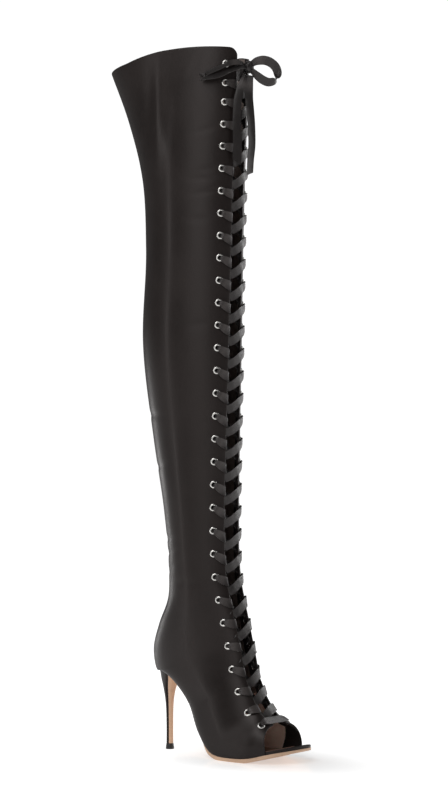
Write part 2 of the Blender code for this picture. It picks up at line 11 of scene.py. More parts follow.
import bmesh
import bpy
import numpy as np
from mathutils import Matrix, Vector


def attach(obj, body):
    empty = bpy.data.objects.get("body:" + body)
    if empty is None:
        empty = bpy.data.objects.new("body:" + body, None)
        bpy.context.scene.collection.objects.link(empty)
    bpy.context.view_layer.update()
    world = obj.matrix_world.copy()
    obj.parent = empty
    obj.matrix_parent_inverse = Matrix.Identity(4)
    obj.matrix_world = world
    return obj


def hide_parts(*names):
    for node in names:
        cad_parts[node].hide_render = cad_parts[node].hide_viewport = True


bl_info = {
    "name": "Thigh-high lace-up boot",
    "version": (1, 0, 0),
    "blender": (4, 5, 0),
    "location": "3D View > Sidebar > Boot",
    "description": "Models the leather, the lace and the sole of a thigh-high lace-up boot",
    "category": "Add Mesh",
}

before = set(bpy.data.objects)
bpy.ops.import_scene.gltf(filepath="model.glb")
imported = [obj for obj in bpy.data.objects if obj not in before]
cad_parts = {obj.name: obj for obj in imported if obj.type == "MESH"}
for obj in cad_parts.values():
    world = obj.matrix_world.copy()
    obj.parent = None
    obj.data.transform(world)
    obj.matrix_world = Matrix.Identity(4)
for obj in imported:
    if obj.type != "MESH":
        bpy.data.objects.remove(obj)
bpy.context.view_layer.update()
MM = 0.001
BODY = "root"
LATERAL, MEDIAL = -1, 1
SIDES = {LATERAL: "lateral", MEDIAL: "medial"}

# The sections of the last, from the collar to the toe opening's rim: each one's front and back in the side
# view, its half widths, where it is widest between its back (-1) and its front (1), how square its two parts
# are (1 is a rhomb and 2 an ellipse), its shift to the medial side, and half the throat's gap
FIELDS = (
    "front_x front_z back_x back_z half_width sole_lateral sole_medial "
    "widest square_front square_back shift_y half_gap"
).split()
SECTIONS = {
    "collar": (-4, 848.5, -200, 837.5, 58, 3, 3, 0.00, 1.5, 2.1, 0, 10),
    "thigh": (-7, 783.5, -171, 775.5, 56, 3, 3, 0.00, 1.5, 2.1, 0, 10),
    "above_knee": (-11, 708.5, -148, 703.5, 53, 3, 3, 0.00, 1.5, 2.1, 0, 10),
    "knee": (-14, 618.5, -142, 615.5, 51, 3, 3, 0.00, 1.5, 2.1, 0, 10),
    "calf": (-17, 498.5, -147, 498.5, 51, 3, 3, 0.00, 1.5, 2.1, 0, 11),
    "low_calf": (-20, 383.5, -131, 381.5, 45, 3, 3, 0.00, 1.5, 2.1, 0, 12),
    "above_ankle": (-22, 293.5, -114, 288.5, 41, 3, 3, 0.00, 1.5, 2.1, 0, 13),
    "ankle": (-21, 239.5, -108, 227.5, 39, 3, 3, 0.00, 1.5, 2.1, 0, 13),
    "achilles": (-18, 211.5, -110, 187.5, 38, 3, 3, 0.05, 1.5, 2.1, 0, 13),
    "heel_top": (-11, 183.5, -127, 153.5, 37, 3, 3, 0.08, 1.5, 2.1, 0, 13),
    "heel_bulge": (-4, 157.5, -136, 123.5, 36, 4, 4, 0.05, 1.5, 2.1, 0, 13),
    "seat_rear": (2, 133.5, -128, 98.5, 35, 8, 8, 0.00, 1.5, 2.2, 0, 13),
    "seat": (6, 117.5, -113, 98.5, 35, 19, 19, -0.05, 1.5, 2.4, 0, 13),
    "seat_front": (9, 101.5, -94, 90.0, 35, 23, 23, -0.10, 1.5, 2.6, 0, 13),
    "waist": (15, 87.5, -68, 63.5, 35, 22, 20, -0.15, 1.5, 2.8, 0, 13),
    "waist_low": (21, 74.5, -48, 28, 37, 28, 24, -0.20, 1.5, 3.0, 0, 13),
    "ball_rear": (27, 64.5, -26, 8, 40, 36, 33, -0.35, 1.5, 3.0, 1, 13),
    "ball": (34, 55.5, 8, 4.3, 41, 39, 39, -0.45, 1.6, 3.0, 1, 13),
    "throat_end": (41, 49, 33, 6.2, 40, 37, 38.5, -0.45, 1.85, 3.0, 2, 12),
    "toe_rim": (48, 43.5, 54, 11.5, 37.2, 32, 37, -0.45, 2.1, 2.4, 5.5, 11),
}
TABLE = np.array(list(SECTIONS.values()), float)
FRONT_RUNS = np.linalg.norm(np.diff(TABLE[:, 0:2], axis=0), axis=1)
BACK_RUNS = np.linalg.norm(np.diff(TABLE[:, 2:4], axis=0), axis=1)
STATIONS = np.concatenate([[0.0], np.cumsum((FRONT_RUNS + BACK_RUNS) / 2)])
SLOPES = np.gradient(TABLE, STATIONS, axis=0)
END = float(STATIONS[-1])
SEAT = float(STATIONS[list(SECTIONS).index("seat_rear")])
CURVE_POINTS = 121  # of a section's curve on one side

FACING = 26.0  # width of the band along each edge of the throat
EYELETS_PER_SIDE = 31
PITCH_GROWTH = 0.08  # of the distance between eyelets, from the collar to the toe
CLOSE_PITCHES = {0: 0.87, 1: 0.87, 29: 0.87}  # shares, by the eyelet above
LOWEST_EYELET = 9.5  # from the toe opening
HIGHEST_EYELET = 19.0  # from the collar
EYELET_INSET = 14.5  # from the throat's edge


def section_at(station):
    """Return the section's named values at a station of the loft, on a cubic through the table's rows."""
    index = int(np.clip(np.searchsorted(STATIONS, station, "right") - 1, 0, len(STATIONS) - 2))
    run = STATIONS[index + 1] - STATIONS[index]
    t = (station - STATIONS[index]) / run
    values = (
        (2 * t**3 - 3 * t**2 + 1) * TABLE[index]
        + (t**3 - 2 * t**2 + t) * run * SLOPES[index]
        + (3 * t**2 - 2 * t**3) * TABLE[index + 1]
        + (t**3 - t**2) * run * SLOPES[index + 1]
    )
    return dict(zip(FIELDS, values))


def side_curve(side, station):
    """Return one side's outer curve at a station, from the throat's edge to the sole's edge."""
    row = section_at(station)
    back = np.array([row["back_x"], row["back_z"]])
    front = np.array([row["front_x"], row["front_z"]])
    middle = 0.5 + 0.5 * row["widest"]
    sole = (row["sole_medial"] if side > 0 else row["sole_lateral"]) - side * row["shift_y"]
    angle = np.linspace(0.0, math.pi, CURVE_POINTS)
    ahead = angle < math.pi / 2
    power = np.where(ahead, 2 / row["square_front"], 2 / row["square_back"])
    reach = np.where(ahead, 1 - middle, -middle)
    end = np.where(ahead, row["half_gap"], sole)
    sine = np.clip(np.sin(angle), 0.0, 1.0)
    sine[[0, -1]] = 0.0
    along = middle + reach * np.abs(np.cos(angle)) ** power
    out = end + (row["half_width"] - end) * sine**power
    xz = back + (front - back) * along[:, None]
    return np.column_stack([xz[:, 0], row["shift_y"] + side * out, xz[:, 1]])


def run_length(points):
    """Return the length along points, from the first one."""
    return np.concatenate([[0.0], np.cumsum(np.linalg.norm(np.diff(points, axis=0), axis=1))])


def points_along(curve, lengths):
    """Return the points of a curve at lengths from its first one."""
    run = run_length(curve)
    return np.stack([np.interp(lengths, run, values) for values in curve.T], axis=-1)


def eyelet_stations():
    """Return the station of each eyelet, down the line that the eyelets are set on."""
    fine = np.linspace(0.0, END, 300)
    line = [side_curve(LATERAL, station) for station in fine]
    line = np.array([curve[np.searchsorted(run_length(curve), EYELET_INSET)] for curve in line])
    length = run_length(line)
    pitches = 1 + PITCH_GROWTH * np.linspace(-0.5, 0.5, EYELETS_PER_SIDE - 1)
    for eyelet, share in CLOSE_PITCHES.items():
        pitches[eyelet] *= share
    places = np.concatenate([[0.0], np.cumsum(pitches)]) / np.sum(pitches)
    places = HIGHEST_EYELET + places * (length[-1] - LOWEST_EYELET - HIGHEST_EYELET)
    return np.interp(places, length, fine)


EYELETS = eyelet_stations()


# Creases of the leather. Each is a soft trough (or a ridge, where its depth is negative) on one side, about a
# place by station and by reach from the throat's edge. tilt turns it from level, down towards the back
Crease = namedtuple("Crease", "side station reach tilt length width depth")
CREASES = [Crease(*row) for row in (
    (LATERAL, 60, 100, 88, 80, 7.0, -1.0), (LATERAL, 70, 114, 88, 70, 8.0, 0.7),
    (LATERAL, 70, 84, 88, 70, 8.0, 0.7), (LATERAL, 20, 52, 60, 18, 4.0, 0.5),
    (LATERAL, 146, 32, 8, 16, 2.8, 0.7), (LATERAL, 157, 36, -6, 18, 3.2, 0.8),
    (LATERAL, 173, 32, 6, 20, 3.0, 0.7), (LATERAL, 98, 34, 12, 20, 3.2, 0.5),
    (LATERAL, 205, 38, -4, 22, 4.0, 0.5), (LATERAL, 330, 45, 5, 26, 5.0, 0.5),
    (LATERAL, 436, 128, -4, 30, 4.0, 0.9), (LATERAL, 500, 112, 4, 26, 3.6, 0.9),
    (LATERAL, 586, 92, -6, 24, 3.4, 0.9), (LATERAL, 603, 96, 3, 26, 3.4, 1.1),
    (LATERAL, 622, 88, 8, 22, 3.0, 0.8), (LATERAL, 640, 60, -12, 24, 4.0, 0.5),
    (MEDIAL, 90, 90, 86, 80, 9.0, -0.9), (MEDIAL, 160, 36, 4, 22, 3.2, 0.7),
    (MEDIAL, 440, 120, 4, 30, 4.0, 0.9), (MEDIAL, 598, 92, -4, 26, 3.4, 1.0),
    (MEDIAL, 618, 84, 6, 24, 3.2, 0.9), (MEDIAL, 790, 60, -10, 26, 4.0, 0.6),
    (LATERAL, 800, 62, 10, 24, 4.0, 0.5),
)]


def relief(side, station, reach):
    """Return how far the leather stands out of the last at places, by its creases."""
    height = np.zeros(np.broadcast(station, reach).shape)
    for crease in CREASES:
        if crease.side == side:
            tilt = math.radians(crease.tilt)
            down = station - crease.station
            back = reach - crease.reach
            along = back * math.cos(tilt) + down * math.sin(tilt)
            over = down * math.cos(tilt) - back * math.sin(tilt)
            height -= crease.depth * np.exp(-((over / crease.width) ** 2) - (along / crease.length) ** 2)
    return height


def normals_of(points, side):
    """Return the outward normals of one side's grid of points, by station and reach."""
    normal = np.cross(np.gradient(points, axis=1), np.gradient(points, axis=0)) * -side
    return normal / np.linalg.norm(normal, axis=2, keepdims=True)


def skin(side, station, reach, height=0.0):
    """Return a place on the leather, or height above it, with the directions outward, down and away.

    Down is along the boot, and away is from the throat.
    """
    step = 1.0
    below = station + step if station + step <= END else station + 1e-3
    places = [max(reach - step, 0.0), reach, reach + step]
    rows = np.array([points_along(side_curve(side, max(at, 0.0)), places)
                     for at in (station - step, station, below)])
    down = rows[2, 1] - rows[0, 1]
    away = rows[1, 2] - rows[1, 0]
    outward = np.cross(away, down) * -side
    outward /= np.linalg.norm(outward)
    down /= np.linalg.norm(down)
    away = np.cross(down, outward) * -side
    lift = height + float(relief(side, np.float64(station), np.float64(reach)))
    return rows[1, 1] + outward * lift, outward, down, away


def eyelet_place(side, number):
    """Return an eyelet's middle with its outward, down and away directions."""
    return skin(side, EYELETS[number], EYELET_INSET)


def station_of(down):
    """Return the station at a place counted in eyelets from the top."""
    last = EYELETS_PER_SIDE - 1
    station = float(np.interp(down, np.arange(EYELETS_PER_SIDE), EYELETS))
    station += min(0.0, down) * (EYELETS[1] - EYELETS[0])
    return station + max(0.0, down - last) * (EYELETS[-1] - EYELETS[-2])


def smooth_path(points, steps):
    """Return a Catmull-Rom path through rows of values."""
    points = [np.array(point, float) for point in points]
    padded = [2 * points[0] - points[1]] + points + [2 * points[-1] - points[-2]]
    path = []
    for a, b, c, d in zip(padded, padded[1:], padded[2:], padded[3:]):
        for t in np.arange(steps) / steps:
            path.append(0.5 * (2 * b + (c - a) * t + (2 * a - 5 * b + 4 * c - d) * t**2
                               + (3 * b - a - 3 * c + d) * t**3))
    path.append(points[-1])
    return np.array(path)


# Meshes

def new_model():
    """Return an empty bmesh with the layers that the sheets and the tubes use."""
    model = bmesh.new()
    model.verts.layers.int.new("key")
    model.loops.layers.uv.new("UVMap")
    return model


def vertices_in(geometry):
    """Return the vertices in what a bmesh operator made."""
    return [item for item in geometry if isinstance(item, bmesh.types.BMVert)]


def add_grid(model, front, back, holes=(), uv=None):
    """Add a closed sheet to a bmesh: a grid at the front's points, pushed out to the back's.

    uv is the pattern's coordinates by [row, column], and holes are sets of vertex numbers. A face whose
    corners all lie in one set is left out.
    """
    rows, columns = front.shape[:2]
    key = model.verts.layers.int["key"]
    made = bmesh.ops.create_grid(model, x_segments=columns - 1, y_segments=rows - 1, size=1)["verts"]
    for number, vertex in enumerate(made):
        vertex[key] = number
    faces = list({face for vertex in made for face in vertex.link_faces})
    faces.sort(key=lambda face: min(vertex[key] for vertex in face.verts))
    inside = [face for face in faces if any(all(v[key] in hole for v in face.verts) for hole in holes)]
    if inside:
        bmesh.ops.delete(model, geom=inside, context="FACES")
        faces = [face for face in faces if face.is_valid]
        made = [vertex for vertex in made if vertex.is_valid]
    flat_front = front.reshape(-1, 3) * MM
    flat_back = back.reshape(-1, 3) * MM
    for vertex in made:
        vertex.co = flat_front[vertex[key]]
    pushed = vertices_in(bmesh.ops.extrude_face_region(model, geom=faces)["geom"])
    for vertex in pushed:
        vertex.co = flat_back[vertex[key]]
    every = {face for vertex in pushed for face in vertex.link_faces} | set(faces)
    bmesh.ops.recalc_face_normals(model, faces=list(every))
    if uv is not None:
        layer = model.loops.layers.uv["UVMap"]
        flat_uv = uv.reshape(-1, 2)
        for face in every:
            for loop in face.loops:
                loop[layer].uv = flat_uv[loop.vert[key]]


def finish_piece(model, name, finish, nodes=(), sharp=45.0, bevel=0.0):
    """Make an object of a bmesh: smooth but for its sharp edges, with its material and body."""
    mesh = bpy.data.meshes.new(name)
    model.to_mesh(mesh)
    model.free()
    mesh.attributes.remove(mesh.attributes["key"])
    mesh.shade_smooth()
    mesh.set_sharp_from_angle(angle=math.radians(sharp))
    mesh.materials.append(material(finish))
    piece = bpy.data.objects.new(name, mesh)
    bpy.context.scene.collection.objects.link(piece)
    if bevel:
        rounding = piece.modifiers.new("Rounded edges", "BEVEL")
        rounding.width = bevel
        rounding.segments = 2
        rounding.limit_method = "ANGLE"
        rounding.angle_limit = math.radians(50)
    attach(piece, BODY)
    if nodes:
        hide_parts(*nodes)
    return piece


def make_sheet(name, finish, slot, nodes, *grid, sharp=45.0, bevel=0.0):
    """Build a piece that is one closed sheet, given as add_grid takes it."""
    model = new_model()
    add_grid(model, *grid)
    return finish_piece(model, name, finish, nodes, sharp, bevel)


# Materials

class Finish:
    """A material's nodes, made one after another and wired to its shader."""

    def __init__(self, name, colour, roughness):
        self.material = bpy.data.materials.new(name)
        self.material.use_nodes = True
        self.tree = self.material.node_tree
        self.shader = self.tree.nodes["Principled BSDF"]
        self.set("Base Color", shade(colour))
        self.set("Roughness", roughness)

    def give(self, socket, value):
        """Give a socket a value, or the output of a node."""
        if isinstance(value, bpy.types.NodeSocket):
            self.tree.links.new(value, socket)
        else:
            socket.default_value = value

    def set(self, name, value):
        """Give one of the shader's sockets a value, or the output of a node."""
        self.give(self.shader.inputs[name], value)

    def node(self, kind, settings=None, **inputs):
        """Return a new node. Inputs are named by socket, with _ for a space, or by number, as in i0."""
        made = self.tree.nodes.new(kind)
        for name, value in (settings or {}).items():
            setattr(made, name, value)
        for name, value in inputs.items():
            self.give(made.inputs[int(name[1:]) if name[1:].isdigit() else name.replace("_", " ")], value)
        return made

    def place(self, source="Object"):
        """Return the coordinates that a pattern lies in."""
        return self.node("ShaderNodeTexCoord").outputs[source]

    def stretch(self, place, x, y, z):
        """Return coordinates scaled along each axis."""
        return self.node("ShaderNodeMapping", Vector=place, Scale=(x, y, z)).outputs["Vector"]

    def noise(self, place, scale, detail=3.0, roughness=0.5):
        """Return a cloudy pattern's value."""
        return self.node("ShaderNodeTexNoise", Vector=place, Scale=scale, Detail=detail,
                         Roughness=roughness).outputs["Fac"]

    def cells(self, place, scale, feature="F1"):
        """Return the distance from the middle of a pattern's cells."""
        return self.node("ShaderNodeTexVoronoi", {"feature": feature}, Vector=place,
                         Scale=scale).outputs["Distance"]

    def waves(self, place, direction, scale, distortion, detail):
        """Return the value of a pattern of ribs."""
        return self.node("ShaderNodeTexWave", {"bands_direction": direction}, Vector=place, Scale=scale,
                         Distortion=distortion, Detail=detail).outputs["Fac"]

    def span(self, value, low, high, start=0.0, end=1.0):
        """Return value, taken from between start and end to between low and high."""
        return self.node("ShaderNodeMapRange", i0=value, i1=start, i2=end, i3=low, i4=high).outputs["Result"]

    def maths(self, operation, first, second):
        """Return the result of a sum or a product."""
        return self.node("ShaderNodeMath", {"operation": operation}, i0=first, i1=second).outputs["Value"]

    def mix(self, share, first, second):
        """Return a colour between two."""
        return self.node("ShaderNodeMix", {"data_type": "RGBA"}, i0=share, i6=first, i7=second).outputs[2]

    def bump(self, *layers):
        """Wire bumps to the shader, each a height with its strength and its distance in metres."""
        below = {}
        for height, strength, distance in layers:
            made = self.node("ShaderNodeBump", Height=height, Strength=strength, Distance=distance, **below)
            below = {"Normal": made.outputs["Normal"]}
        self.set("Normal", below["Normal"])


def shade(colour, factor=1.0):
    """Return a colour made lighter or darker, as red, green, blue and 1."""
    return (*(channel * factor for channel in colour[:3]), 1.0)


def soft_leather(name, colour, roughness, grain):
    """Matt calf leather: fine grain, pores, and slow changes of tone where it was stretched over the last."""
    finish = Finish(name, colour, roughness)
    place = finish.place()
    broad = finish.noise(place, 14.0, 4.0)
    fine = finish.noise(place, 260.0, 3.0)
    grains = finish.cells(place, grain, "SMOOTH_F1")
    pores = finish.cells(place, grain * 0.45)
    tone = finish.mix(finish.span(broad, 0.0, 1.0, 0.3, 0.7), shade(colour, 0.82), shade(colour, 1.2))
    finish.set("Base Color", finish.mix(finish.span(fine, 0.0, 0.35), tone, shade(colour, 1.6)))
    rough = finish.maths("ADD", finish.span(broad, -0.05, 0.05, 0.3, 0.7), finish.span(fine, -0.04, 0.04))
    finish.set("Roughness", finish.maths("ADD", rough, roughness))
    finish.set("Specular IOR Level", 0.34)
    finish.set("Specular Tint", (1.0, 0.92, 0.90, 1.0))
    finish.bump((broad, 0.10, 0.0012), (fine, 0.12, 0.0003), (pores, 0.16, 0.0002), (grains, 0.22, 0.00016))
    return finish


def cut_leather(name, colour):
    """Vegetable-tanned sole leather: long fibres along the cut edge, and a darker burnish in patches."""
    finish = Finish(name, colour, 0.42)
    dark = shade(colour, 0.72)
    place = finish.place()
    fibres = finish.noise(finish.stretch(place, 60.0, 60.0, 900.0), 1.0, 4.0, 0.6)
    patches = finish.noise(place, 35.0, 4.0)
    pores = finish.cells(place, 1100.0)
    tone = finish.mix(finish.span(patches, 0.0, 1.0, 0.25, 0.75), shade(colour), dark)
    finish.set("Base Color", finish.mix(finish.span(fibres, 0.0, 0.4, 0.35, 0.75), tone, shade(dark, 0.8)))
    finish.set("Roughness", finish.span(patches, 0.34, 0.5, 0.25, 0.75))
    finish.bump((fibres, 0.2, 0.0003), (pores, 0.12, 0.0001))
    return finish


PAINTED_SHEEN = 4.5  # how much lighter the ribbon is painted a little way along each run: a painted highlight for the satin's sheen
PAINTED_SHEEN_FROM, PAINTED_SHEEN_TO = (0.003, 0.010), (0.013, 0.021)  # metres along each run of the lace, where the painted highlight rises and where it fades


def satin_ribbon(name, colour):
    """Woven satin ribbon: fine ribs across it, crossed by its warp, and a painted highlight a little way
    along each run.
    """
    finish = Finish(name, colour, 0.32)
    place = finish.place("UV")
    ribs = finish.waves(place, "Y", 900.0, 0.4, 1.0)
    warp = finish.waves(place, "X", 1300.0, 0.2, 2.0)
    slub = finish.noise(finish.place(), 160.0, 3.0)
    broad = finish.noise(finish.place(), 45.0, 2.0)
    weave = finish.maths("MULTIPLY", ribs, finish.span(warp, 0.6, 1.0))
    tone = finish.mix(weave, shade(colour, 0.75), shade(colour, 1.3))
    # painted highlight: each run is lighter from about 3 to 21 mm along it, standing in for the satin's sheen
    along = finish.node("ShaderNodeSeparateXYZ", Vector=place).outputs["Y"]
    painted_sheen = finish.maths("MULTIPLY", finish.span(along, 0.0, 1.0, *PAINTED_SHEEN_FROM),
                          finish.span(along, 1.0, 0.0, *PAINTED_SHEEN_TO))
    tone = finish.mix(finish.maths("MULTIPLY", painted_sheen, finish.span(slub, 0.6, 1.0)), tone,
                      shade(colour, PAINTED_SHEEN))
    finish.set("Base Color", finish.mix(finish.span(slub, 0.0, 0.3), tone, shade(colour, 1.8)))
    finish.set("Roughness", finish.span(slub, 0.24, 0.38))
    finish.set("Sheen Weight", 0.14)
    finish.set("Sheen Roughness", 0.35)
    finish.set("Specular IOR Level", 0.5)
    finish.set("Specular Tint", (1.0, 0.95, 0.94, 1.0))
    finish.bump((broad, 0.5, 0.0012), (slub, 0.25, 0.0005), (weave, 0.25, 0.00012))
    return finish


def plated_metal(name, colour):
    """Polished nickel plate with faint handling marks."""
    finish = Finish(name, colour, 0.2)
    place = finish.place()
    marks = finish.noise(finish.stretch(place, 300.0, 300.0, 1800.0), 1.0, 3.0)
    cloud = finish.noise(place, 220.0, 2.0)
    finish.set("Metallic", 1.0)
    finish.set("Base Color", finish.mix(cloud, shade(colour), shade(colour, 0.86)))
    rough = finish.maths("ADD", finish.span(cloud, 0.12, 0.24), finish.span(marks, 0.0, 0.08))
    finish.set("Roughness", rough)
    finish.bump((marks, 0.08, 0.0001))
    return finish


def hard_tip(name, colour):
    """The heel's hard plastic tip: a dull satin with fine scuffs."""
    finish = Finish(name, colour, 0.4)
    place = finish.place()
    scuffs = finish.noise(finish.stretch(place, 700.0, 700.0, 120.0), 1.0, 4.0)
    worn = finish.span(scuffs, 0.0, 0.5, 0.4, 0.8)
    finish.set("Base Color", finish.mix(worn, shade(colour), shade(colour, 3.0)))
    finish.set("Roughness", finish.span(scuffs, 0.32, 0.55))
    finish.bump((scuffs, 0.2, 0.0001))
    return finish


# Each material's maker, its colour's name, and what else its maker takes
MATERIALS = {
    "upper_leather": (soft_leather, "leather", 0.36, 900.0),
    "facing_leather": (soft_leather, "leather", 0.6, 1200.0),
    "lining_leather": (soft_leather, "lining", 0.6, 1100.0),
    "toe_leather": (soft_leather, "toe", 0.6, 1100.0),
    "sock_leather": (soft_leather, "sock", 0.55, 1100.0),
    "covered_leather": (soft_leather, "leather", 0.4, 1000.0),
    "sole_leather": (cut_leather, "sole"),
    "ribbon": (satin_ribbon, "ribbon"),
    "nickel": (plated_metal, "metal"),
    "tip": (hard_tip, "tip"),
}
MADE = {}  # the materials made so far, by name


def material(name):
    """Return one of the boot's materials, made at its first use."""
    if name not in MADE:
        maker, colour, *settings = MATERIALS[name]
        MADE[name] = maker(name, getattr(bpy.context.scene.boot_colours, colour), *settings).material
    return MADE[name]


# Sizes and colours that a user would change

def length(name, description, default):
    """Return a length that a user can set."""
    return bpy.props.FloatProperty(name=name, description=description, default=default, min=0.0, max=0.1,
                                   unit="LENGTH", precision=4)


def colour(name, description, default):
    """Return a colour that a user can set."""
    return bpy.props.FloatVectorProperty(name=name, description=description, default=default, size=3,
                                         min=0.0, max=1.0, subtype="COLOR")


class BootSizes(bpy.types.PropertyGroup):
    """Sizes of the boot's finished pieces."""

    leather: length("Leather", "Thickness of the upper's leather", 0.0012)
    lining: length("Lining", "Thickness of the lining", 0.00035)
    facing: length("Facing", "Thickness of the band behind the eyelets", 0.0013)
    edge: length("Turned edge", "Radius that the leather is turned over at the collar and the throat", 0.0011)
    corner_lateral: length("Lateral corner", "Radius of the collar's lateral front corner", 0.011)
    corner_medial: length("Medial corner", "Radius of the collar's medial front corner", 0.014)
    collar_dip: length("Collar dip", "Fall of the collar towards the throat on the medial side", 0.009)
    collar_arch: length("Collar arch", "Rise of the collar at the middle of each side", 0.0045)
    ribbon_width: length("Ribbon width", "Width of the lace", 0.0105)
    ribbon_thickness: length("Ribbon thickness", "Thickness of the lace", 0.00045)
    ribbon_bunched: length("Ribbon in an eyelet", "Width of the lace where an eyelet gathers it", 0.0046)
    eyelet_bore: length("Eyelet bore", "Radius of the hole in an eyelet", 0.0024)
    eyelet_flange: length("Eyelet flange", "Outer radius of an eyelet", 0.0047)
    sock: length("Sock", "Thickness of the sock lining on the insole", 0.0009)


class BootColours(bpy.types.PropertyGroup):
    """Colours of the boot's finishes and of the floor."""

    leather: colour("Leather", "Black leather of the upper and the covered heel", (0.0112, 0.0082, 0.0075))
    lining: colour("Lining", "Brown leather of the lining", (0.250, 0.205, 0.185))
    sock: colour("Sock", "Brown leather of the sock lining", (0.26, 0.145, 0.105))
    # painted light: the toe lining's brown is made far paler, standing in for light inside the dark toe
    toe: colour("Toe", "Brown leather of the toe's lining", (0.88, 0.66, 0.55))
    # partly painted light: tan leather, made paler to stand in for light thrown up from the floor
    sole: colour("Sole", "Tan leather of the sole's edge and the heel's breast", (0.90, 0.60, 0.41))
    ribbon: colour("Ribbon", "Black satin of the lace", (0.0140, 0.0120, 0.0115))
    metal: colour("Metal", "Plate of the eyelets", (0.78, 0.76, 0.73))
    tip: colour("Tip", "Hard tip of the heel", (0.02, 0.019, 0.019))
    floor: colour("Floor", "Studio floor", (0.92, 0.92, 0.92))


def sizes():
    """Return the sizes in millimetres, by name."""
    kept = bpy.context.scene.boot_sizes
    return {name: getattr(kept, name) / MM for name in BootSizes.__annotations__}


# The upper, the lining and the bands behind the eyelets

# A station is a length along the loft from the collar, and a reach is a length from the throat's edge round
# the leather, to the back or, past the seat, to the sole's edge
ROWS_PER_PITCH, BAND_ROWS_PER_PITCH = 9, 3
EDGE_STEPS = (0.0, 0.3, 0.7, 1.2)  # the first rows and columns, where an edge is turned over
EDGE_CLEAR = 2.6  # from an end to the rows after those
EDGE_FRONT, EDGE_BACK = 0.5, 0.6  # share of the leather that its face turns in by, and of that its back
FACING_STEPS = np.linspace(2.4, FACING - 1.3, 18)  # the upper's columns over the facing
SIDE_STEPS = 46  # columns from the facing to the last ones
BACK_STEPS = (3.0, 1.9, 1.1, 0.6, 0.25, 0.0)  # the last columns' distances from the sheet's end
CORNER_FADE = 45.0  # from an end to where the rows are level again below a rounded corner
TOE_CORNER = 5.0  # radius of the throat's corners at the toe opening
COLLAR_FADE = 60.0  # from the collar to where the rows are level again below its arch
COLLAR_ARCH_LENGTH, COLLAR_DIP_LENGTH = 155.0, 60.0
SEAM, SEAM_WIDTH, SEAM_END = 0.45, 0.8, SEAT - 4.0  # the back seam's depth, width and lowest station
EYELET_HOLE = 3.3  # radius of the hole under an eyelet


def body_stations(rows_per_pitch):
    """Return the stations of a sheet's rows: even between eyelets, and one where the back opens."""
    downs = np.arange(-1, EYELETS_PER_SIDE + 1, 1 / rows_per_pitch)
    stations = np.array([station_of(down) for down in downs])
    stations = stations[(stations > EDGE_CLEAR) & (stations < END - EDGE_CLEAR)]
    stations[np.argmin(np.abs(stations - SEAT))] = SEAT
    ends = np.array(EDGE_STEPS)
    return np.concatenate([ends, stations, END - ends[::-1]])


def corner_drop(reach, station, radius, edge=0.0):
    """Return how far a row moves along the boot, to round a corner of the sheet."""
    inside = np.clip(radius - reach, 0.0, radius)
    drop = radius - np.sqrt(np.clip(radius**2 - inside**2, 0.0, None))
    return drop * np.clip(1 - np.abs(station - edge) / CORNER_FADE, 0.0, 1.0)


def shaped_stations(side, rows, reaches):
    """Return the stations of a sheet's points, once its corners are rounded and its collar arched."""
    size = sizes()
    corner = size["corner_lateral"] if side == LATERAL else size["corner_medial"]
    fade = np.clip(1 - rows / COLLAR_FADE, 0.0, 1.0)
    shaped = rows + corner_drop(reaches, rows, corner) - corner_drop(reaches, rows, TOE_CORNER, END)
    shaped -= size["collar_arch"] * np.sin(np.pi * np.clip(reaches / COLLAR_ARCH_LENGTH, 0.0, 1.0)) * fade
    if side == MEDIAL:
        dip = 0.5 + 0.5 * np.cos(np.pi * np.clip(reaches / COLLAR_DIP_LENGTH, 0.0, 1.0))
        shaped += size["collar_dip"] * dip * fade
    return shaped


def leather_grid(side, stations, near, far, steps, lead=(), tail=(0.0,)):
    """Return one side of the leather's face by [row, column], with its normals, stations and reaches.

    The columns run from one reach to another, or on to the leather's end where far is None. Those in lead
    come first, and tail gives the last ones' distances from there.
    """
    points, reaches = [], []
    for station in stations:
        curve = side_curve(side, station)
        end = run_length(curve)[-1] if far is None else far
        places = np.concatenate([lead, np.linspace(near, end - tail[0], steps + 1), end - np.array(tail[1:])])
        points.append(points_along(curve, places))
        reaches.append(places)
    points, reaches = np.array(points), np.array(reaches)
    rows = np.repeat(stations[:, None], reaches.shape[1], axis=1)
    shaped = shaped_stations(side, rows, reaches)
    for place in zip(*np.nonzero(np.abs(shaped - rows) > 1e-4)):
        points[place] = points_along(side_curve(side, shaped[place]), reaches[place])
    normals = normals_of(points, side)
    return points + normals * relief(side, shaped, reaches)[..., None], normals, shaped, reaches


def turned(distance, radius, depth):
    """Return how far a face sinks near an edge, by its distance from it, to round it over."""
    near = np.clip(1 - distance / radius, 0.0, 1.0)
    return depth * (1 - np.sqrt(np.clip(1 - near**2, 0.0, 1.0)))


def upper_faces(side):
    """Return one side's outer and inner points, with their stations."""
    size = sizes()
    rows = body_stations(ROWS_PER_PITCH)
    lead = np.concatenate([EDGE_STEPS, FACING_STEPS])
    face, normals, shaped, reaches = leather_grid(side, rows, FACING, None, SIDE_STEPS, lead, BACK_STEPS)
    rows = rows[:, None]
    from_edge = np.minimum(reaches, np.minimum(rows, END - rows))
    sunk = turned(from_edge, size["edge"], size["leather"] * EDGE_FRONT)
    from_back = reaches[:, -1:] - reaches
    seam = SEAM * np.exp(-((from_back / SEAM_WIDTH) ** 2)) * (rows < SEAM_END)
    front = face - normals * (sunk + seam)[..., None]
    back = face - normals * (size["leather"] - sunk * EDGE_BACK)[..., None]
    return front, back, shaped


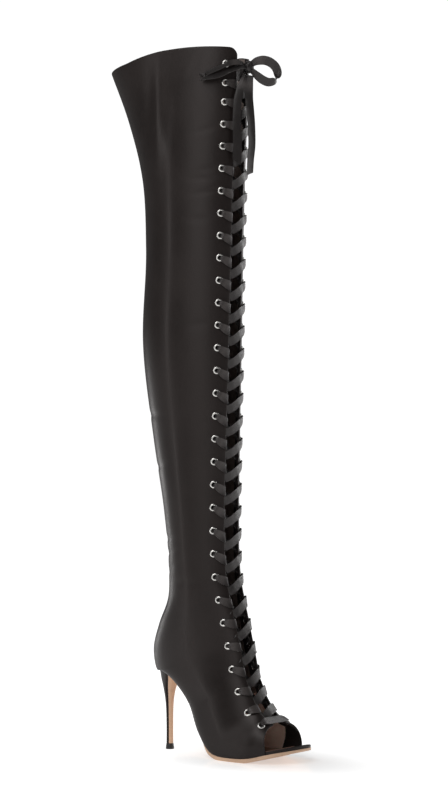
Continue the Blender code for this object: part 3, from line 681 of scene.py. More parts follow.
def open_holes(front, back, side, first, row_length):
    """Push the points round each eyelet out to a circle. Return sets of the numbers of those pushed.

    The points are one side's, whose first column has the number first in a grid with rows of row_length.
    """
    holes = []
    for number in range(EYELETS_PER_SIDE):
        middle, outward = eyelet_place(side, number)[:2]
        flat = front - middle
        flat = flat - (flat @ outward)[..., None] * outward
        inside = np.linalg.norm(flat, axis=2) < EYELET_HOLE
        inside &= np.linalg.norm(front - middle, axis=2) < EYELET_HOLE * 2
        for points in (front, back):
            sideways = points[inside] - middle
            rise = (sideways @ outward)[:, None] * outward
            sideways = sideways - rise
            sideways *= EYELET_HOLE / np.maximum(np.linalg.norm(sideways, axis=1), 1e-6)[:, None]
            points[inside] = middle + sideways + rise
        rows, columns = np.nonzero(inside)
        holes.append(set(rows * row_length + columns + first))
    return holes


def make_upper():
    """Build the upper as one closed sheet, from the throat's lateral edge round the back to its medial."""
    sides = [upper_faces(side) for side in SIDES]
    front, back = (np.concatenate([sides[0][face], sides[1][face][:, ::-1]], axis=1) for face in (0, 1))
    half = front.shape[1] // 2
    holes = open_holes(front[:, :half], back[:, :half], LATERAL, 0, 2 * half)
    holes += open_holes(front[:, half:], back[:, half:], MEDIAL, half, 2 * half)
    for row in np.nonzero(sides[0][2][:, -1] > SEAT - 0.01)[0][:-1]:
        corner = int(row) * 2 * half + half
        holes.append({corner - 1, corner, corner + 2 * half - 1, corner + 2 * half})
    make_sheet("upper_leather", "upper_leather", "upper", ["upper"], front, back, holes, sharp=50)


RIM_BAND = 22.0  # of black leather inside the toe opening's rim
TOE_LINING = 95.0  # from the rim to where the toe's lining begins
BAND_EDGE = 1.2  # from an end of the upper to the sheets inside it
BAND_CLEAR = 0.5  # from an end of such a sheet to its other rows
BAND_TURN, BAND_TURN_DEPTH = 1.0, 0.4  # radius that its near edge is turned over, and how far at most
LAP = 1.0  # of each sheet of the lining over the one before
LINING_NEAR = FACING - 2.0
# The sheets inside the upper. first and last are stations, near and far are reaches, depth is from the
# upper's inner face, and thickness is a size's name
Band = namedtuple("Band", "name first last near far steps rows_per_pitch depth thickness finish slot")
LININGS = [
    Band("lining_{}", BAND_EDGE, END - TOE_LINING, LINING_NEAR, None, 26, BAND_ROWS_PER_PITCH, 0.05,
         "lining", "lining_leather", "lining"),
    Band("toe_lining_{}", END - TOE_LINING - LAP, END - RIM_BAND, LINING_NEAR, None, 26, BAND_ROWS_PER_PITCH,
         0.11, "lining", "toe_leather", "lining"),
    Band("rim_band_{}", END - RIM_BAND - LAP, END - BAND_EDGE, LINING_NEAR, None, 26, BAND_ROWS_PER_PITCH,
         0.11, "lining", "facing_leather", "facing"),
]
FACING_BAND = Band("facing_{}_band", BAND_EDGE, END - BAND_EDGE, 0.25, FACING, 21, ROWS_PER_PITCH, 0.06,
                   "facing", "facing_leather", "facing")


def make_band(side, band, pierced=False, nodes=()):
    """Build a sheet inside the upper on one side, pierced for the eyelets or plain."""
    size = sizes()
    thickness = size[band.thickness]
    rows = body_stations(band.rows_per_pitch)
    rows = rows[(rows > band.first + BAND_CLEAR) & (rows < band.last - BAND_CLEAR)]
    rows = np.concatenate([[band.first], rows, [band.last]])
    tail = BACK_STEPS if band.far is None else (0.0,)
    face, normals, _, reaches = leather_grid(side, rows, band.near, band.far, band.steps, tail=tail)
    outer = face - normals * (size["leather"] + band.depth)
    inner = outer - normals * thickness
    sunk = turned(reaches - band.near, BAND_TURN, min(thickness / 2, BAND_TURN_DEPTH))[..., None]
    front, back = outer - normals * sunk, inner + normals * sunk
    holes = open_holes(front, back, side, 0, reaches.shape[1]) if pierced else []
    make_sheet(band.name.format(SIDES[side]), band.finish, band.slot, nodes, front, back, holes, sharp=50)


def make_lining():
    """Build each side's lining behind the bands, the toe's own lining, and the black band round the rim."""
    for side in SIDES:
        for band in LININGS:
            make_band(side, band)


def make_facings():
    """Build the black bands behind the eyelets, one on each side of the throat."""
    for side, end in SIDES.items():
        make_band(side, FACING_BAND, True, ["facing_" + end])


# Eyelets

EYELET_STEPS = 28
EYELET_DEPTH = 3.1  # from the leather's face to the back of the band


def make_eyelets():
    """Spin one eyelet's profile, and set it at each place down both sides of the throat."""
    size = sizes()
    bore, flange = size["eyelet_bore"], size["eyelet_flange"]
    profile = [  # radii, and heights from the leather's face: up the bore, over the dome, down the barrel
        (bore, -EYELET_DEPTH + 0.2), (bore, 0.7), (bore + 0.12, 1.1), (bore + 0.45, 1.42),
        (bore + 0.95, 1.5), (flange - 0.75, 1.25), (flange - 0.22, 0.78), (flange, 0.3),
        (flange - 0.08, 0.08), (bore + 0.6, 0.06), (bore + 0.6, -2.55), (bore + 1.6, -2.62),
        (bore + 1.7, -2.85), (bore + 1.0, -EYELET_DEPTH), (bore + 0.3, -EYELET_DEPTH),
    ]
    for side, end in SIDES.items():
        model = new_model()
        for number in range(EYELETS_PER_SIDE):
            middle, outward, _, away = eyelet_place(side, number)
            ring = [model.verts.new((middle + away * radius + outward * height) * MM)
                    for radius, height in profile]
            edges = [model.edges.new((ring[step - 1], ring[step])) for step in range(len(ring))]
            bmesh.ops.spin(model, geom=ring + edges, cent=Vector(middle * MM), axis=Vector(outward),
                           angle=math.tau, steps=EYELET_STEPS, use_merge=True)
        bmesh.ops.remove_doubles(model, verts=model.verts, dist=1e-6)
        bmesh.ops.recalc_face_normals(model, faces=model.faces)
        finish_piece(model, "eyelets_" + end, "nickel", sharp=60)


# The lace through the eyelets

# A place that the ribbon goes through. reach is from the throat's edge, on the run's own side or the far one,
# and in the gap it is the share crossed. down is in eyelets, and width is a share of the ribbon's. lean turns
# the ribbon's face from outward (0) to across (1)
Place = namedtuple("Place", "zone reach down height width pleat lean", defaults=(0.0, 0.0))


def places(*rows):
    """Return the places that a part of a run goes through."""
    return [Place(*row) for row in rows]


OUT_OF_THE_EYELET = places(
    ("own", 14.8, -0.01, -2.4, 0.40, 1.0), ("own", 14.2, 0.0, 0.6, 0.44, 1.0),
    ("own", 12.6, 0.10, 2.5, 0.60, 0.7), ("own", 9.6, 0.34, 2.9, 0.82, 0.35),
    ("own", 5.4, 0.68, 2.1, 0.97, 0.1),
)
OVER_THE_EDGE = places(
    ("own", 1.7, 0.93, 1.25, 1.03, 0.0, 0.15), ("gap", 0.01, 1.0, 0.75, 1.05, 0.0, 0.5),
    ("gap", 0.035, 1.05, -1.4, 1.05, 0.0, 1.0), ("gap", 0.07, 1.2, -4.2, 1.0, 0.0, 0.8),
    ("gap", 0.28, 1.6, -7.4, 0.95, 0.0, 0.1), ("gap", 0.62, 2.2, -8.2, 0.95),
    ("gap", 0.90, 2.6, -6.2, 0.95),
)
ACROSS_THE_FRONT = places(
    ("own", 1.6, 0.93, 1.3, 0.98), ("gap", 0.08, 1.15, 2.3, 1.0), ("gap", 0.30, 1.55, 3.0, 1.0),
    ("gap", 0.60, 2.2, 2.2, 1.0), ("gap", 0.86, 2.7, -0.3, 1.0), ("gap", 0.98, 2.9, -2.4, 1.0, 0.0, -0.2),
)
INTO_THE_NEXT = places(
    ("far", 3.0, 0.80, -3.9, 0.95, 0.1), ("far", 8.0, 0.88, -4.2, 0.7, 0.4),
    ("far", 13.0, 0.98, -4.0, 0.46, 0.9), ("far", 14.8, 1.0, -2.6, 0.42, 0.9),
)
INSIDE = places(
    ("own", 14.6, 0.0, -2.2, 0.42, 0.9), ("own", 12.8, 0.04, -3.6, 0.46, 0.9),
    ("own", 7.0, 0.15, -4.2, 0.7, 0.4), ("own", 1.5, 0.25, -4.6, 0.9, 0.1), ("gap", 0.3, 0.4, -7.0, 0.95),
    ("gap", 0.7, 0.6, -7.0, 0.95),
)
BAR = places(
    ("own", 14.6, 0.0, -2.2, 0.42, 0.9), ("own", 14.2, -0.01, 0.5, 0.44, 0.9),
    ("own", 12.4, 0.0, 2.4, 0.55, 0.9), ("own", 8.5, 0.02, 2.6, 0.8, 0.5),
    ("own", 2.0, 0.06, 1.9, 1.0, 0.1), ("gap", 0.3, 0.08, 2.0, 1.0), ("gap", 0.7, 0.08, 2.0, 1.0),
    ("far", 2.0, 0.06, 1.9, 1.0, 0.1), ("far", 8.5, 0.0, 2.3, 0.7, 0.6), ("far", 12.6, 0.0, 2.2, 0.5, 0.9),
    ("far", 14.2, 0.0, 0.5, 0.44, 0.9), ("far", 14.6, 0.0, -2.2, 0.42, 0.9),
)
TO_THE_KNOT = places(
    ("own", 14.6, 0.0, -2.2, 0.42, 0.9), ("own", 14.2, 0.0, 0.6, 0.42, 0.9),
    ("own", 12.2, 0.0, 2.4, 0.42, 0.9), ("own", 8.0, 0.0, 2.7, 0.40, 1.0),
    ("own", 3.0, 0.0, 3.1, 0.40, 1.0), ("gap", 0.12, 0.02, 4.4, 0.42, 1.0),
    ("gap", 0.32, 0.06, 7.0, 0.45, 1.0),
)
NEXT_START = 0.78  # eyelets down from a run's eyelet to where INTO_THE_NEXT takes over
# How far a run falls from its eyelet to its own edge of the throat, in eyelets, by the eyelet's number
FALL_EYELETS = (0, 2, 4, 7, 10, 16, 22, 24, 25, 28, 30)
FALL_LATERAL = (0.10, 0.09, 0.10, 0.20, 0.26, 0.28, 0.33, 0.28, 0.16, 0.14, 0.14)
FALL_MEDIAL = (0.20, 0.22, 0.26, 0.28, 0.30, 0.30, 0.28, 0.26, 0.24, 0.22, 0.22)
LACE_COLUMNS = 9
PATTERN_HALF = 5.0  # half the ribbon's width in its pattern
PLEATS, PLEAT_DEPTH = 2.5, 0.55


def on_lace(side, place, down):
    """Return a place of the lace with the direction that the ribbon faces there."""
    station = station_of(down + place.down)
    own, _, own_down, _ = skin(side, station, 0.0)
    over = skin(-side, station, 0.0)[0] - own
    outward = np.cross(over, own_down) * side
    outward /= np.linalg.norm(outward)
    point = own + over * place.reach + outward * place.height
    if place.zone != "gap":
        point, outward = skin(side if place.zone == "own" else -side, station, place.reach, place.height)[:2]
    facing = outward * (1 - abs(place.lean)) + over / np.linalg.norm(over) * place.lean
    return point, facing / np.linalg.norm(facing)


def falling(run, fall):
    """Return a run's places, with those from its eyelet to its edge spread down by a fall in eyelets.

    Down the run, 1 is at its own edge. Past the edge it goes on to where the next eyelet's places begin.
    """
    spread = []
    for place in run:
        past = max(place.down - 1.0, 0.0) / 2.0
        spread.append(place._replace(down=min(place.down, 1.0) * fall + past * (NEXT_START - fall)))
    return spread


def ribbon_sheet(path, outward, width, pleat, cup=0.0, slant=(0.0, 0.0)):
    """Return a ribbon along a path, as add_grid takes it.

    outward is roughly the ribbon's facing direction at each point, and slant cuts its ends askew.
    """
    heading = np.gradient(path, axis=0)
    heading /= np.linalg.norm(heading, axis=1, keepdims=True)
    across = np.cross(heading, outward)
    across /= np.linalg.norm(across, axis=1, keepdims=True)
    facing = np.cross(across, heading)
    place = np.linspace(-1.0, 1.0, LACE_COLUMNS)
    wave = np.cos(place * math.pi * PLEATS) * PLEAT_DEPTH
    lift = pleat[:, None] * wave[None, :] + cup * (1 - place[None, :] ** 2)
    middle = path[:, None] + across[:, None] * (width[:, None] / 2 * place[None, :])[..., None]
    middle = middle + facing[:, None] * lift[..., None]
    for row, cut in zip((0, -1), slant):
        middle[row] += heading[row] * (cut * place)[:, None]
    half = facing[:, None] * sizes()["ribbon_thickness"] / 2
    along = run_length(path)
    uv = np.stack(np.broadcast_arrays(place[None, :] * PATTERN_HALF, along[:, None]), axis=2) * MM
    return middle + half, middle - half, (), uv


def thread(model, side, run, number, steps=3):
    """Add one run of the lace to a bmesh, from an eyelet."""
    rows = []
    for place in run:
        point, outward = on_lace(side, place, number)
        rows.append([*point, *outward, place.width, place.pleat])
    rows = smooth_path(rows, steps)
    width = rows[:, 6] * sizes()["ribbon_width"]
    add_grid(model, *ribbon_sheet(rows[:, :3], rows[:, 3:6], width, rows[:, 7]))


def make_lacing():
    """Thread the lace through the eyelets. The medial side's runs pass in front of the lateral side's."""
    model = new_model()
    for side in SIDES:
        thread(model, side, INSIDE + INTO_THE_NEXT, 0)
        thread(model, side, TO_THE_KNOT, 0)
    for number in range(1, EYELETS_PER_SIDE - 1):
        for side, over, falls in ((LATERAL, OVER_THE_EDGE, FALL_LATERAL),
                                  (MEDIAL, ACROSS_THE_FRONT, FALL_MEDIAL)):
            fall = float(np.interp(number, FALL_EYELETS, falls))
            thread(model, side, falling(OUT_OF_THE_EYELET + over, fall) + INTO_THE_NEXT, number, 4)
    thread(model, LATERAL, BAR, EYELETS_PER_SIDE - 1)
    finish_piece(model, "lacing", "ribbon", ["lace_crossings"], sharp=60)


# The bow

# The ribbon's width lies along width where a run starts, and turns to far_width where it ends. slant cuts its
# ends askew
Run = namedtuple("Run", "name width far_width far_end slant points")
BOW = [
    Run("lace_loop_lateral", (-0.40, 0.50, 0.72), (-0.48, 0.60, 0.62), "object", (0, 0), [
        (1.8, -6.4, 828.9), (0.8, -11.4, 830.2), (-1.6, -17, 830.4), (-7.8, -23.9, 828.4),
        (-15.6, -27.6, 824.9), (-23.6, -33.6, 820.6), (-29.4, -37.4, 817.2), (-32.2, -41, 813.7),
        (-28.8, -43.4, 811.6), (-19.4, -38.2, 811.9), (-12, -32, 814.4), (-5.4, -26.6, 818.5),
        (0, -21, 821.9), (3.8, -14.4, 824.2), (5.2, -8.8, 825.0),
    ]),
    Run("lace_loop_medial", (0.45, 0.20, 0.80), (0.75, -0.20, 0.60), "object", (0, 0), [
        (7.2, 0.2, 828.6), (10.2, 2.0, 830.8), (14, 4.5, 833.0), (20, 9.5, 834), (26, 14.5, 831.5),
        (31, 18.5, 825.5), (32.5, 20.5, 817.5), (29.5, 19.5, 810.5), (24, 14.4, 808.0), (19, 9.1, 810.4),
        (14.5, 4.2, 815.2), (10.8, 0.9, 819.8), (8.0, -0.6, 822.6),
    ]),
    Run("lace_end_lateral", (0.15, 0.98, 0.1), (0.55, 0.83, 0.1), "bare", (0, 2.5), [
        (4.4, -5.2, 816.8), (2.6, -8.6, 808), (0, -11.4, 797), (-1.2, -14, 784), (-2, -14.8, 766),
        (-1.4, -15, 748), (-1.2, -14.6, 730), (-1.6, -15, 711),
    ]),
    Run("lace_end_medial", (0.55, 0.83, -0.1), (0.05, 1.0, -0.1), "bare", (0, -2.5), [
        (6.6, 1.5, 816.2), (3.2, 2.6, 806), (1.8, 3.8, 792), (2.6, 5.2, 776), (3.6, 6.4, 758),
        (4.2, 6.6, 735), (3, 5.6, 717), (2.4, 5, 699),
    ]),
]
BOW_WIDTH = 11.0
BOW_CUP = 0.5
GATHERED, GATHERED_LENGTH = 0.35, 9.0  # share of the width taken up at the knot, and how far that lasts
GATHERED_PLEAT = 0.8
KNOT_CENTRE = np.array((5.6, -1.0, 826.0))
KNOT_CORE = np.array((9.5, 14.0, 19.0)) * (0.88, 0.78, 0.66)
KNOT_FOLD, KNOT_FOLDS = 0.06, (0.0, 28.0, 6.0)  # depth of the core's folds, and how close they lie
WRAP_CLEAR, WRAP_TURN = 0.2, math.tau * 1.02  # of the ribbon round the core


def make_bow_run(run):
    path = smooth_path(run.points, 4)
    share = np.linspace(0.0, 1.0, len(path))[:, None]
    lies = np.array(run.width) * (1 - share) + np.array(run.far_width) * share
    outward = np.cross(lies, np.gradient(path, axis=0))
    along = run_length(path)
    from_knot = along if run.far_end == "bare" else np.minimum(along, along[-1] - along)
    gathered = np.exp(-((from_knot / GATHERED_LENGTH) ** 2))
    width = BOW_WIDTH * (1 - GATHERED * gathered)
    sheet = ribbon_sheet(path, outward, width, gathered * GATHERED_PLEAT, BOW_CUP, run.slant)
    piece = make_sheet(run.name.replace("lace_", "ribbon_"), "ribbon", "lace", [run.name], *sheet, sharp=60)


def make_knot():
    """Build the bow's knot: a gathered core with the ribbon wrapped round it."""
    model = new_model()
    for vertex in bmesh.ops.create_icosphere(model, subdivisions=4, radius=0.5)["verts"]:
        place = np.array(vertex.co)
        fold = 1 + KNOT_FOLD * math.cos(place @ KNOT_FOLDS)
        vertex.co = (place * KNOT_CORE * fold + KNOT_CENTRE) * MM
    turn = np.linspace(0.0, WRAP_TURN, 40)
    round_x, _, round_z = KNOT_CORE / 2 + WRAP_CLEAR
    path = KNOT_CENTRE + np.column_stack([
        round_x * np.cos(turn), 0.5 * np.cos(turn) - 1.6 * np.sin(turn), round_z * np.sin(turn),
    ])
    width = 4.8 + 2.4 * np.cos(turn) ** 2
    add_grid(model, *ribbon_sheet(path, path - KNOT_CENTRE, width, np.full(len(path), 0.5), BOW_CUP))
    return finish_piece(model, "ribbon_knot", "ribbon", ["lace_knot"], sharp=60)


def make_bow():
    """Build the knot and the four runs that leave it."""
    knot = make_knot()
    for index, run in enumerate(BOW):
        make_bow_run(run)


# The sole and the heel

Station = namedtuple("Station", "x z lateral medial")
# The sole ahead of the toe opening's rim, as a side view with the outline's two sides
TOE_STATIONS = [
    (61, 13.2, -28.5, 35.5), (68, 14.6, -22.5, 32.5), (75, 16.0, -14.5, 28.0), (80, 17.0, -5.5, 22.5),
    (82.5, 17.5, 3.0, 16.0), (83.2, 17.6, 8.5, 11.0),
]
NOSE_START, NOSE_END = 66.0, 83.0  # where the insole and the outsole thin out to the toe's tip
NOSE_RISE, NOSE_FALL = 2.4, 1.4  # of the outsole's underside and of the insole's top at the tip
INSOLE, INSOLE_INSET, INSOLE_LIFT = 3.5, 2.4, 0.05  # thickness, and distances from the upper and its line
SOCK_INSET, SOCK_LIFT, SOCK_FRONT = 1.2, 0.02, 50.0
SOCK_TIP = ((1.5, 2.0), (3.0, 5.5), (4.0, 10.0))  # steps ahead of its front, with how much a side narrows
SOCK_SLOPE = 0.2  # of the tip
GAP = 0.3  # between the outsole and what lies on it
OUTSOLE, WAIST, FLAP = 4.0, 2.5, 1.2  # thicknesses under the ball, at the waist and down the breast
WAIST_END, WAIST_FADE = -45.0, 12.0
WAIST_INSET, OVERHANG = 1.0, 0.6  # of the outsole's edge from the insole's
TREAD, TREAD_FADE = (-10.0, 26.0), 12.0
BREAST, BREAST_HALF = -99.0, 19.5
FLAP_SPREAD = math.radians(67.5)  # to each side, round the heel
PLATE_COLUMNS, SOLE_COLUMNS = 15, 17

# The heel, from the top piece upwards. middle_x is where it is widest, and front_x is the breast's face
HeelRing = namedtuple("HeelRing", "z back_x middle_x front_x half_width")
HEEL_RINGS = [HeelRing(*row) for row in (
    (7.3, -123.2, -118.9, -114.6, 4.3), (28, -123.2, -118.9, -114.6, 4.3),
    (50, -123.9, -119.2, -114.3, 4.5), (64, -125.3, -119.4, -113.2, 5.5),
    (77, -127.4, -118.5, -110.6, 8.2), (87, -128.9, -114.5, -106.6, 13.0),
    (98.2, -128.6, -109.0, -101.4, 20.0),
)]
FLAP_TOP, COVER_TOP = 93.0, 96.0  # where the rings give way to the line of the seat
TIP_PROFILE = (  # heights and insets of the top piece
    (0.0, -0.6), (0.35, -0.9), (1.6, -0.9), (6.4, -0.25), (7.0, 0.1), (7.0, 0.6),
)


def feather_line():
    """Return the sole's side view and outline along the upper, back to front."""
    rows = [section_at(station) for station in np.linspace(SEAT, END, 70)]
    return [Station(row["back_x"], row["back_z"], -row["sole_lateral"], row["sole_medial"]) for row in rows]


def height_at(stations, x):
    """Return the height of a side view at x."""
    return float(np.interp(x, [station.x for station in stations], [station.z for station in stations]))


def toe_line(feather, clearance):
    """Return the stations ahead of the toe opening's rim, on a smooth outline to the tip."""
    rim = feather[-1]
    start = (rim.x + clearance, rim.z + 0.1, rim.lateral, rim.medial)
    return [Station(*row) for row in smooth_path([start] + TOE_STATIONS, 4)]


def widened(station, extra):
    """Return a station with each side moved out."""
    return station._replace(lateral=station.lateral - extra, medial=station.medial + extra)


def plate(stations, columns, levels):
    """Return the points of a face that is flat across, at a level for each station."""
    across = np.linspace(-1, 1, columns)
    rows = []
    for station, level in zip(stations, levels):
        middle = (station.lateral + station.medial) / 2
        half = (station.medial - station.lateral) / 2
        rows.append([(station.x, middle + half * step, level) for step in across])
    return np.array(rows)


def nose_share(x):
    """Return how far a place is to the toe's tip, eased from 0 to 1."""
    return min(max((x - NOSE_START) / (NOSE_END - NOSE_START), 0.0), 1.0) ** 2


def make_insole():
    """Build the black insole, and the brown sock that lines it inside the shoe."""
    feather = feather_line()
    back = feather[0].x + INSOLE_INSET
    inside = [widened(station, -INSOLE_INSET) for station in feather if station.x > back + 1]
    first = widened(feather[0], -INSOLE_INSET)._replace(x=back, z=height_at(feather, back))
    stations = [first] + inside + toe_line(feather, 0.6)
    tops = [station.z + INSOLE - NOSE_FALL * nose_share(station.x) for station in stations]
    bottoms = [station.z + INSOLE_LIFT for station in stations]
    make_sheet("insole_board", "covered_leather", "insole", ["insole"], plate(stations, PLATE_COLUMNS, tops),
               plate(stations, PLATE_COLUMNS, bottoms), bevel=0.0006)
    sock = [widened(station, -SOCK_INSET) for station in inside if station.x < SOCK_FRONT]
    front = sock[-1]
    for step, narrow in SOCK_TIP:
        sock.append(widened(front, -narrow)._replace(x=front.x + step, z=front.z + step * SOCK_SLOPE))
    tops = [station.z + INSOLE + sizes()["sock"] for station in sock]
    bottoms = [station.z + INSOLE + SOCK_LIFT for station in sock]
    make_sheet("sock_lining", "sock_leather", "lining", [], plate(sock, PLATE_COLUMNS, tops),
               plate(sock, PLATE_COLUMNS, bottoms), bevel=0.0002)


def heel_ring_points(ring, inset, angles, height=None):
    """Return a ring's points at angles from the front, moved in by inset, at its height or a function's."""
    points = []
    for angle in angles:
        reach = ring.front_x - ring.middle_x if math.cos(angle) > 0 else ring.middle_x - ring.back_x
        x = ring.middle_x + (reach - inset) * math.cos(angle)
        y = (ring.half_width - inset) * math.sin(angle)
        points.append((x, y, height(x) if height else ring.z))
    return points


def heel_rings(top):
    """Return smoothly spaced rings of the heel up to a height."""
    rings = [HeelRing(*row) for row in smooth_path(HEEL_RINGS, 6)]
    return [ring for ring in rings if ring.z <= top]


def make_outsole():
    """Build the tan outsole: flat at the tread, thin at the waist, and turned down the heel's breast."""
    feather = feather_line()
    angles = np.linspace(-1, 1, SOLE_COLUMNS) * FLAP_SPREAD
    faces = []
    for inset, under in ((0.0, GAP + WAIST), (FLAP, GAP)):
        rows = [heel_ring_points(ring, inset, angles) for ring in heel_rings(FLAP_TOP)]
        rows.append(heel_ring_points(HEEL_RINGS[-1], inset, angles, lambda x: height_at(feather, x) - under))
        faces.append(rows)
    stations = [Station(BREAST, height_at(feather, BREAST), -BREAST_HALF, BREAST_HALF)]
    tops = [stations[0].z - GAP]
    bottoms = [tops[0] - WAIST]
    for station in feather + toe_line(feather, 0.8):
        if station.x > BREAST + 1:
            blend = min(max((station.x - WAIST_END) / WAIST_FADE, 0.0), 1.0)
            stations.append(widened(station, (WAIST_INSET + OVERHANG) * blend - WAIST_INSET))
            tops.append(station.z - GAP)
            off_tread = max(TREAD[0] - station.x, station.x - TREAD[1], 0.0)
            bottom = max(tops[-1] - WAIST - (OUTSOLE - WAIST) * blend, 0.0) * min(off_tread / TREAD_FADE, 1.0)
            bottoms.append(bottom + NOSE_RISE * nose_share(station.x))
    outer, inner = (np.concatenate([rows, plate(stations, SOLE_COLUMNS, levels)])
                    for rows, levels in zip(faces, (bottoms, tops)))
    make_sheet("sole_and_breast", "sole_leather", "outsole", ["outsole"], outer, inner, sharp=40,
               bevel=0.0005)


def add_tube(model, rings):
    """Add a closed solid to a bmesh, through rings of points of equal length."""
    key = model.verts.layers.int["key"]
    ring = bmesh.ops.create_circle(model, cap_ends=False, segments=len(rings[0]), radius=1)["verts"]
    for number, vertex in enumerate(ring):
        vertex[key] = number
    edges = list({edge for vertex in ring for edge in vertex.link_edges})
    made = [ring]
    for _ in rings[1:]:
        grown = bmesh.ops.extrude_edge_only(model, edges=edges)["geom"]
        ring = vertices_in(grown)
        edges = [item for item in grown if isinstance(item, bmesh.types.BMEdge)]
        edges = [edge for edge in edges if all(vertex in ring for vertex in edge.verts)]
        made.append(ring)
    for ring, points in zip(made, rings):
        for vertex in ring:
            vertex.co = Vector(points[vertex[key]]) * MM
    for end in (made[0], made[-1]):
        bmesh.ops.contextual_create(model, geom=sorted(end, key=lambda vertex: vertex[key]))
    bmesh.ops.recalc_face_normals(model, faces=model.faces)


def make_heel():
    """Build the black covered heel, recessed for the outsole's flap, and its hard tip."""
    feather = feather_line()
    recess = FLAP + GAP / 3
    behind = np.linspace(math.pi / 2, 3 * math.pi / 2, 25)
    ahead = behind - math.pi

    def top(x):
        return height_at(feather, x) - GAP

    rings = []
    for ring, height in [(ring, None) for ring in heel_rings(COVER_TOP)] + [(HEEL_RINGS[-1], top)]:
        rings.append(heel_ring_points(ring, 0.0, behind, height)
                     + heel_ring_points(ring, recess, ahead, height))
    model = new_model()
    add_tube(model, rings)
    finish_piece(model, "covered_heel", "covered_leather", ["heel"], sharp=50, bevel=0.0003)
    angles = np.linspace(0, math.tau, 40, endpoint=False)
    model = new_model()
    add_tube(model, [heel_ring_points(HEEL_RINGS[0]._replace(z=level), inset, angles)
                     for level, inset in TIP_PROFILE])
    finish_piece(model, "heel_tip", "tip", ["top_piece"], sharp=40)


# The stage

CAMERA_PLACE = (1.416, -1.812, 0.3455)
CAMERA_TURN = 38.0
CAMERA_LENS = 86.2
CAMERA_SHIFT = (-0.0274, 0.0848)


def make_camera():
    """Set the camera level with the calf, ahead of the boot and to its lateral side."""
    lens = bpy.data.cameras.new("Camera")
    lens.lens = CAMERA_LENS
    lens.shift_x, lens.shift_y = CAMERA_SHIFT
    camera = bpy.data.objects.new("Camera", lens)
    camera.location = CAMERA_PLACE
    camera.rotation_euler = (math.radians(90), 0, math.radians(CAMERA_TURN))
    bpy.context.scene.collection.objects.link(camera)
    bpy.context.scene.camera = camera


Lamp = namedtuple("Lamp", "name place target width height power")
LAMPS = [
    Lamp("Overhead", (0.1, -1.3, 2.0), (0, 0, 0.2), 1.4, 1.2, 14.0),
    Lamp("Front", (0.75, -2.1, 1.2), (0, 0, 0.5), 1.0, 1.6, 6.8),
    Lamp("Strip", (-1.25, -1.9, 0.9), (-0.1, 0, 0.6), 0.22, 2.4, 7.0),
    Lamp("Right", (1.5, 1.6, 1.0), (0, 0, 0.5), 0.6, 2.0, 9.0),
    Lamp("Rim", (0.2, 2.2, 1.0), (0, 0, 0.5), 0.4, 2.2, 14.0),
    Lamp("Low", (-2.2, 0.1, 0.2), (-0.1, 0, 0.2), 0.4, 0.4, 2.5),
]
WORLD_LIGHT, WORLD_WHITE = 0.12, 1.05  # on the boot, and as the camera sees it
FLOOR_SIZE = 8.0
FLOOR_GLOW_AND_SHADOW = (0.42, 1.0)  # under the toe, where it is lower as a painted shadow, and away from it
FLOOR_SHADOW_FADE = (0.05, 0.24)  # metres from under the toe, over which the painted shadow fades out
# where the painted shadow under the toe lies, and how it is stretched
FLOOR_OFFSET, FLOOR_SPREAD = -0.04, (1.0, 1.5, 1.0)
FLOOR_LIGHT = 0.45  # share of the glow that falls on the boot


def make_world():
    """Return a world that is white behind the boot, and lights it softly."""
    world = bpy.data.worlds.new("Studio")
    world.use_nodes = True
    nodes, links = world.node_tree.nodes, world.node_tree.links
    seen = nodes.new("ShaderNodeLightPath")
    strength = nodes.new("ShaderNodeMapRange")
    strength.inputs["To Min"].default_value = WORLD_LIGHT
    strength.inputs["To Max"].default_value = WORLD_WHITE
    links.new(seen.outputs["Is Camera Ray"], strength.inputs["Value"])
    links.new(strength.outputs["Result"], nodes["Background"].inputs["Strength"])
    nodes["Background"].inputs["Color"].default_value = (1, 1, 1, 1)
    return world


def floor_finish(colour):
    """Return the floor's material: pale, softly glossy, and glowing but for a fainter patch under the toe, a
    painted shadow.
    """
    finish = Finish("studio_floor", colour, 0.3)
    place = finish.place()
    finish.set("Roughness", finish.span(finish.noise(place, 30.0), 0.18, 0.26))
    finish.set("Specular IOR Level", 0.35)
    finish.set("Emission Color", (1.0, 1.0, 1.0, 1.0))
    under_toe = finish.node("ShaderNodeMapping", Vector=place, Location=(FLOOR_OFFSET, 0.0, 0.0),
                            Scale=FLOOR_SPREAD).outputs["Vector"]
    away = finish.node("ShaderNodeVectorMath", {"operation": "LENGTH"}, i0=under_toe).outputs["Value"]
    seen = finish.node("ShaderNodeLightPath").outputs["Is Camera Ray"]
    # painted shadow: the glow falls from 1.0 away from the boot to 0.42 near the toe
    glow_and_shadow = finish.span(away, *FLOOR_GLOW_AND_SHADOW, *FLOOR_SHADOW_FADE)
    finish.set("Emission Strength", finish.maths("MULTIPLY", glow_and_shadow, finish.span(seen, FLOOR_LIGHT, 1.0)))
    return finish.material


def make_stage():
    """Lay the pale floor, and hang the soft lamps round it."""
    scene = bpy.context.scene
    scene.view_settings.view_transform = "Standard"
    scene.world = make_world()
    for lamp in LAMPS:
        light = bpy.data.lights.new(lamp.name, "AREA")
        light.shape = "RECTANGLE"
        light.size, light.size_y = lamp.width, lamp.height
        light.energy = lamp.power
        item = bpy.data.objects.new(lamp.name, light)
        item.location = lamp.place
        aim = Vector(lamp.target) - Vector(lamp.place)
        item.rotation_euler = aim.to_track_quat("-Z", "Y").to_euler()
        scene.collection.objects.link(item)
    model = bmesh.new()
    bmesh.ops.create_grid(model, x_segments=8, y_segments=8, size=FLOOR_SIZE)
    mesh = bpy.data.meshes.new("floor")
    model.to_mesh(mesh)
    model.free()
    mesh.materials.append(floor_finish(scene.boot_colours.floor))
    floor = bpy.data.objects.new("floor", mesh)
    scene.collection.objects.link(floor)


# Operators, one for each group of pieces

class BOOT_OT_camera(bpy.types.Operator):
    """Set the camera"""

    bl_idname = "boot.camera"
    bl_label = "Camera"

    def execute(self, context):
        make_camera()
        return {"FINISHED"}


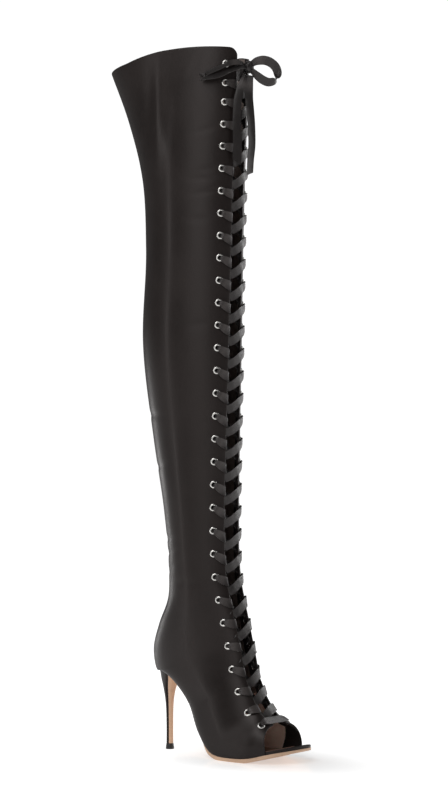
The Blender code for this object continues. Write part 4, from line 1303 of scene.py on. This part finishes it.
class BOOT_OT_bow(bpy.types.Operator):
    """Tie the bow: its knot, two loops and two ends"""

    bl_idname = "boot.bow"
    bl_label = "Bow"

    def execute(self, context):
        make_bow()
        return {"FINISHED"}


class BOOT_OT_upper(bpy.types.Operator):
    """Cut the upper and turn its edges"""

    bl_idname = "boot.upper"
    bl_label = "Upper"

    def execute(self, context):
        make_upper()
        return {"FINISHED"}


class BOOT_OT_lining(bpy.types.Operator):
    """Line the upper"""

    bl_idname = "boot.lining"
    bl_label = "Lining"

    def execute(self, context):
        make_lining()
        return {"FINISHED"}


class BOOT_OT_facings(bpy.types.Operator):
    """Back the throat's edges with their bands"""

    bl_idname = "boot.facings"
    bl_label = "Facings"

    def execute(self, context):
        make_facings()
        return {"FINISHED"}


class BOOT_OT_eyelets(bpy.types.Operator):
    """Set the eyelets"""

    bl_idname = "boot.eyelets"
    bl_label = "Eyelets"

    def execute(self, context):
        make_eyelets()
        return {"FINISHED"}


class BOOT_OT_lacing(bpy.types.Operator):
    """Thread the lace"""

    bl_idname = "boot.lacing"
    bl_label = "Lacing"

    def execute(self, context):
        make_lacing()
        return {"FINISHED"}


class BOOT_OT_insole(bpy.types.Operator):
    """Lay the insole and its sock"""

    bl_idname = "boot.insole"
    bl_label = "Insole"

    def execute(self, context):
        make_insole()
        return {"FINISHED"}


class BOOT_OT_outsole(bpy.types.Operator):
    """Fit the outsole and the breast's flap"""

    bl_idname = "boot.outsole"
    bl_label = "Outsole"

    def execute(self, context):
        make_outsole()
        return {"FINISHED"}


class BOOT_OT_heel(bpy.types.Operator):
    """Fit the covered heel and its tip"""

    bl_idname = "boot.heel"
    bl_label = "Heel"

    def execute(self, context):
        make_heel()
        return {"FINISHED"}


class BOOT_OT_stage(bpy.types.Operator):
    """Lay the floor and hang the lamps"""

    bl_idname = "boot.stage"
    bl_label = "Stage"

    def execute(self, context):
        make_stage()
        return {"FINISHED"}


OPERATORS = (
    BOOT_OT_camera, BOOT_OT_bow, BOOT_OT_upper, BOOT_OT_lining, BOOT_OT_facings, BOOT_OT_eyelets,
    BOOT_OT_lacing, BOOT_OT_insole, BOOT_OT_outsole, BOOT_OT_heel, BOOT_OT_stage,
)


class BOOT_PT_panel(bpy.types.Panel):
    """The boot's sizes, colours and steps"""

    bl_idname = "BOOT_PT_panel"
    bl_label = "Boot"
    bl_space_type = "VIEW_3D"
    bl_region_type = "UI"
    bl_category = "Boot"

    def draw(self, context):
        for group in (context.scene.boot_sizes, context.scene.boot_colours):
            box = self.layout.box()
            for name in type(group).__annotations__:
                box.prop(group, name)
        for step in OPERATORS:
            self.layout.operator(step.bl_idname)


CLASSES = (BootSizes, BootColours, *OPERATORS, BOOT_PT_panel)


def register():
    """Add the boot's classes and settings to Blender."""
    for item in CLASSES:
        bpy.utils.register_class(item)
    bpy.types.Scene.boot_sizes = bpy.props.PointerProperty(type=BootSizes)
    bpy.types.Scene.boot_colours = bpy.props.PointerProperty(type=BootColours)


def unregister():
    """Take the boot's classes and settings out of Blender."""
    del bpy.types.Scene.boot_colours
    del bpy.types.Scene.boot_sizes
    for item in reversed(CLASSES):
        bpy.utils.unregister_class(item)


def main():
    """Run every step."""
    register()
    for step in OPERATORS:
        group, name = step.bl_idname.split(".")
        getattr(getattr(bpy.ops, group), name)()


if __name__ == "__main__":
    main()
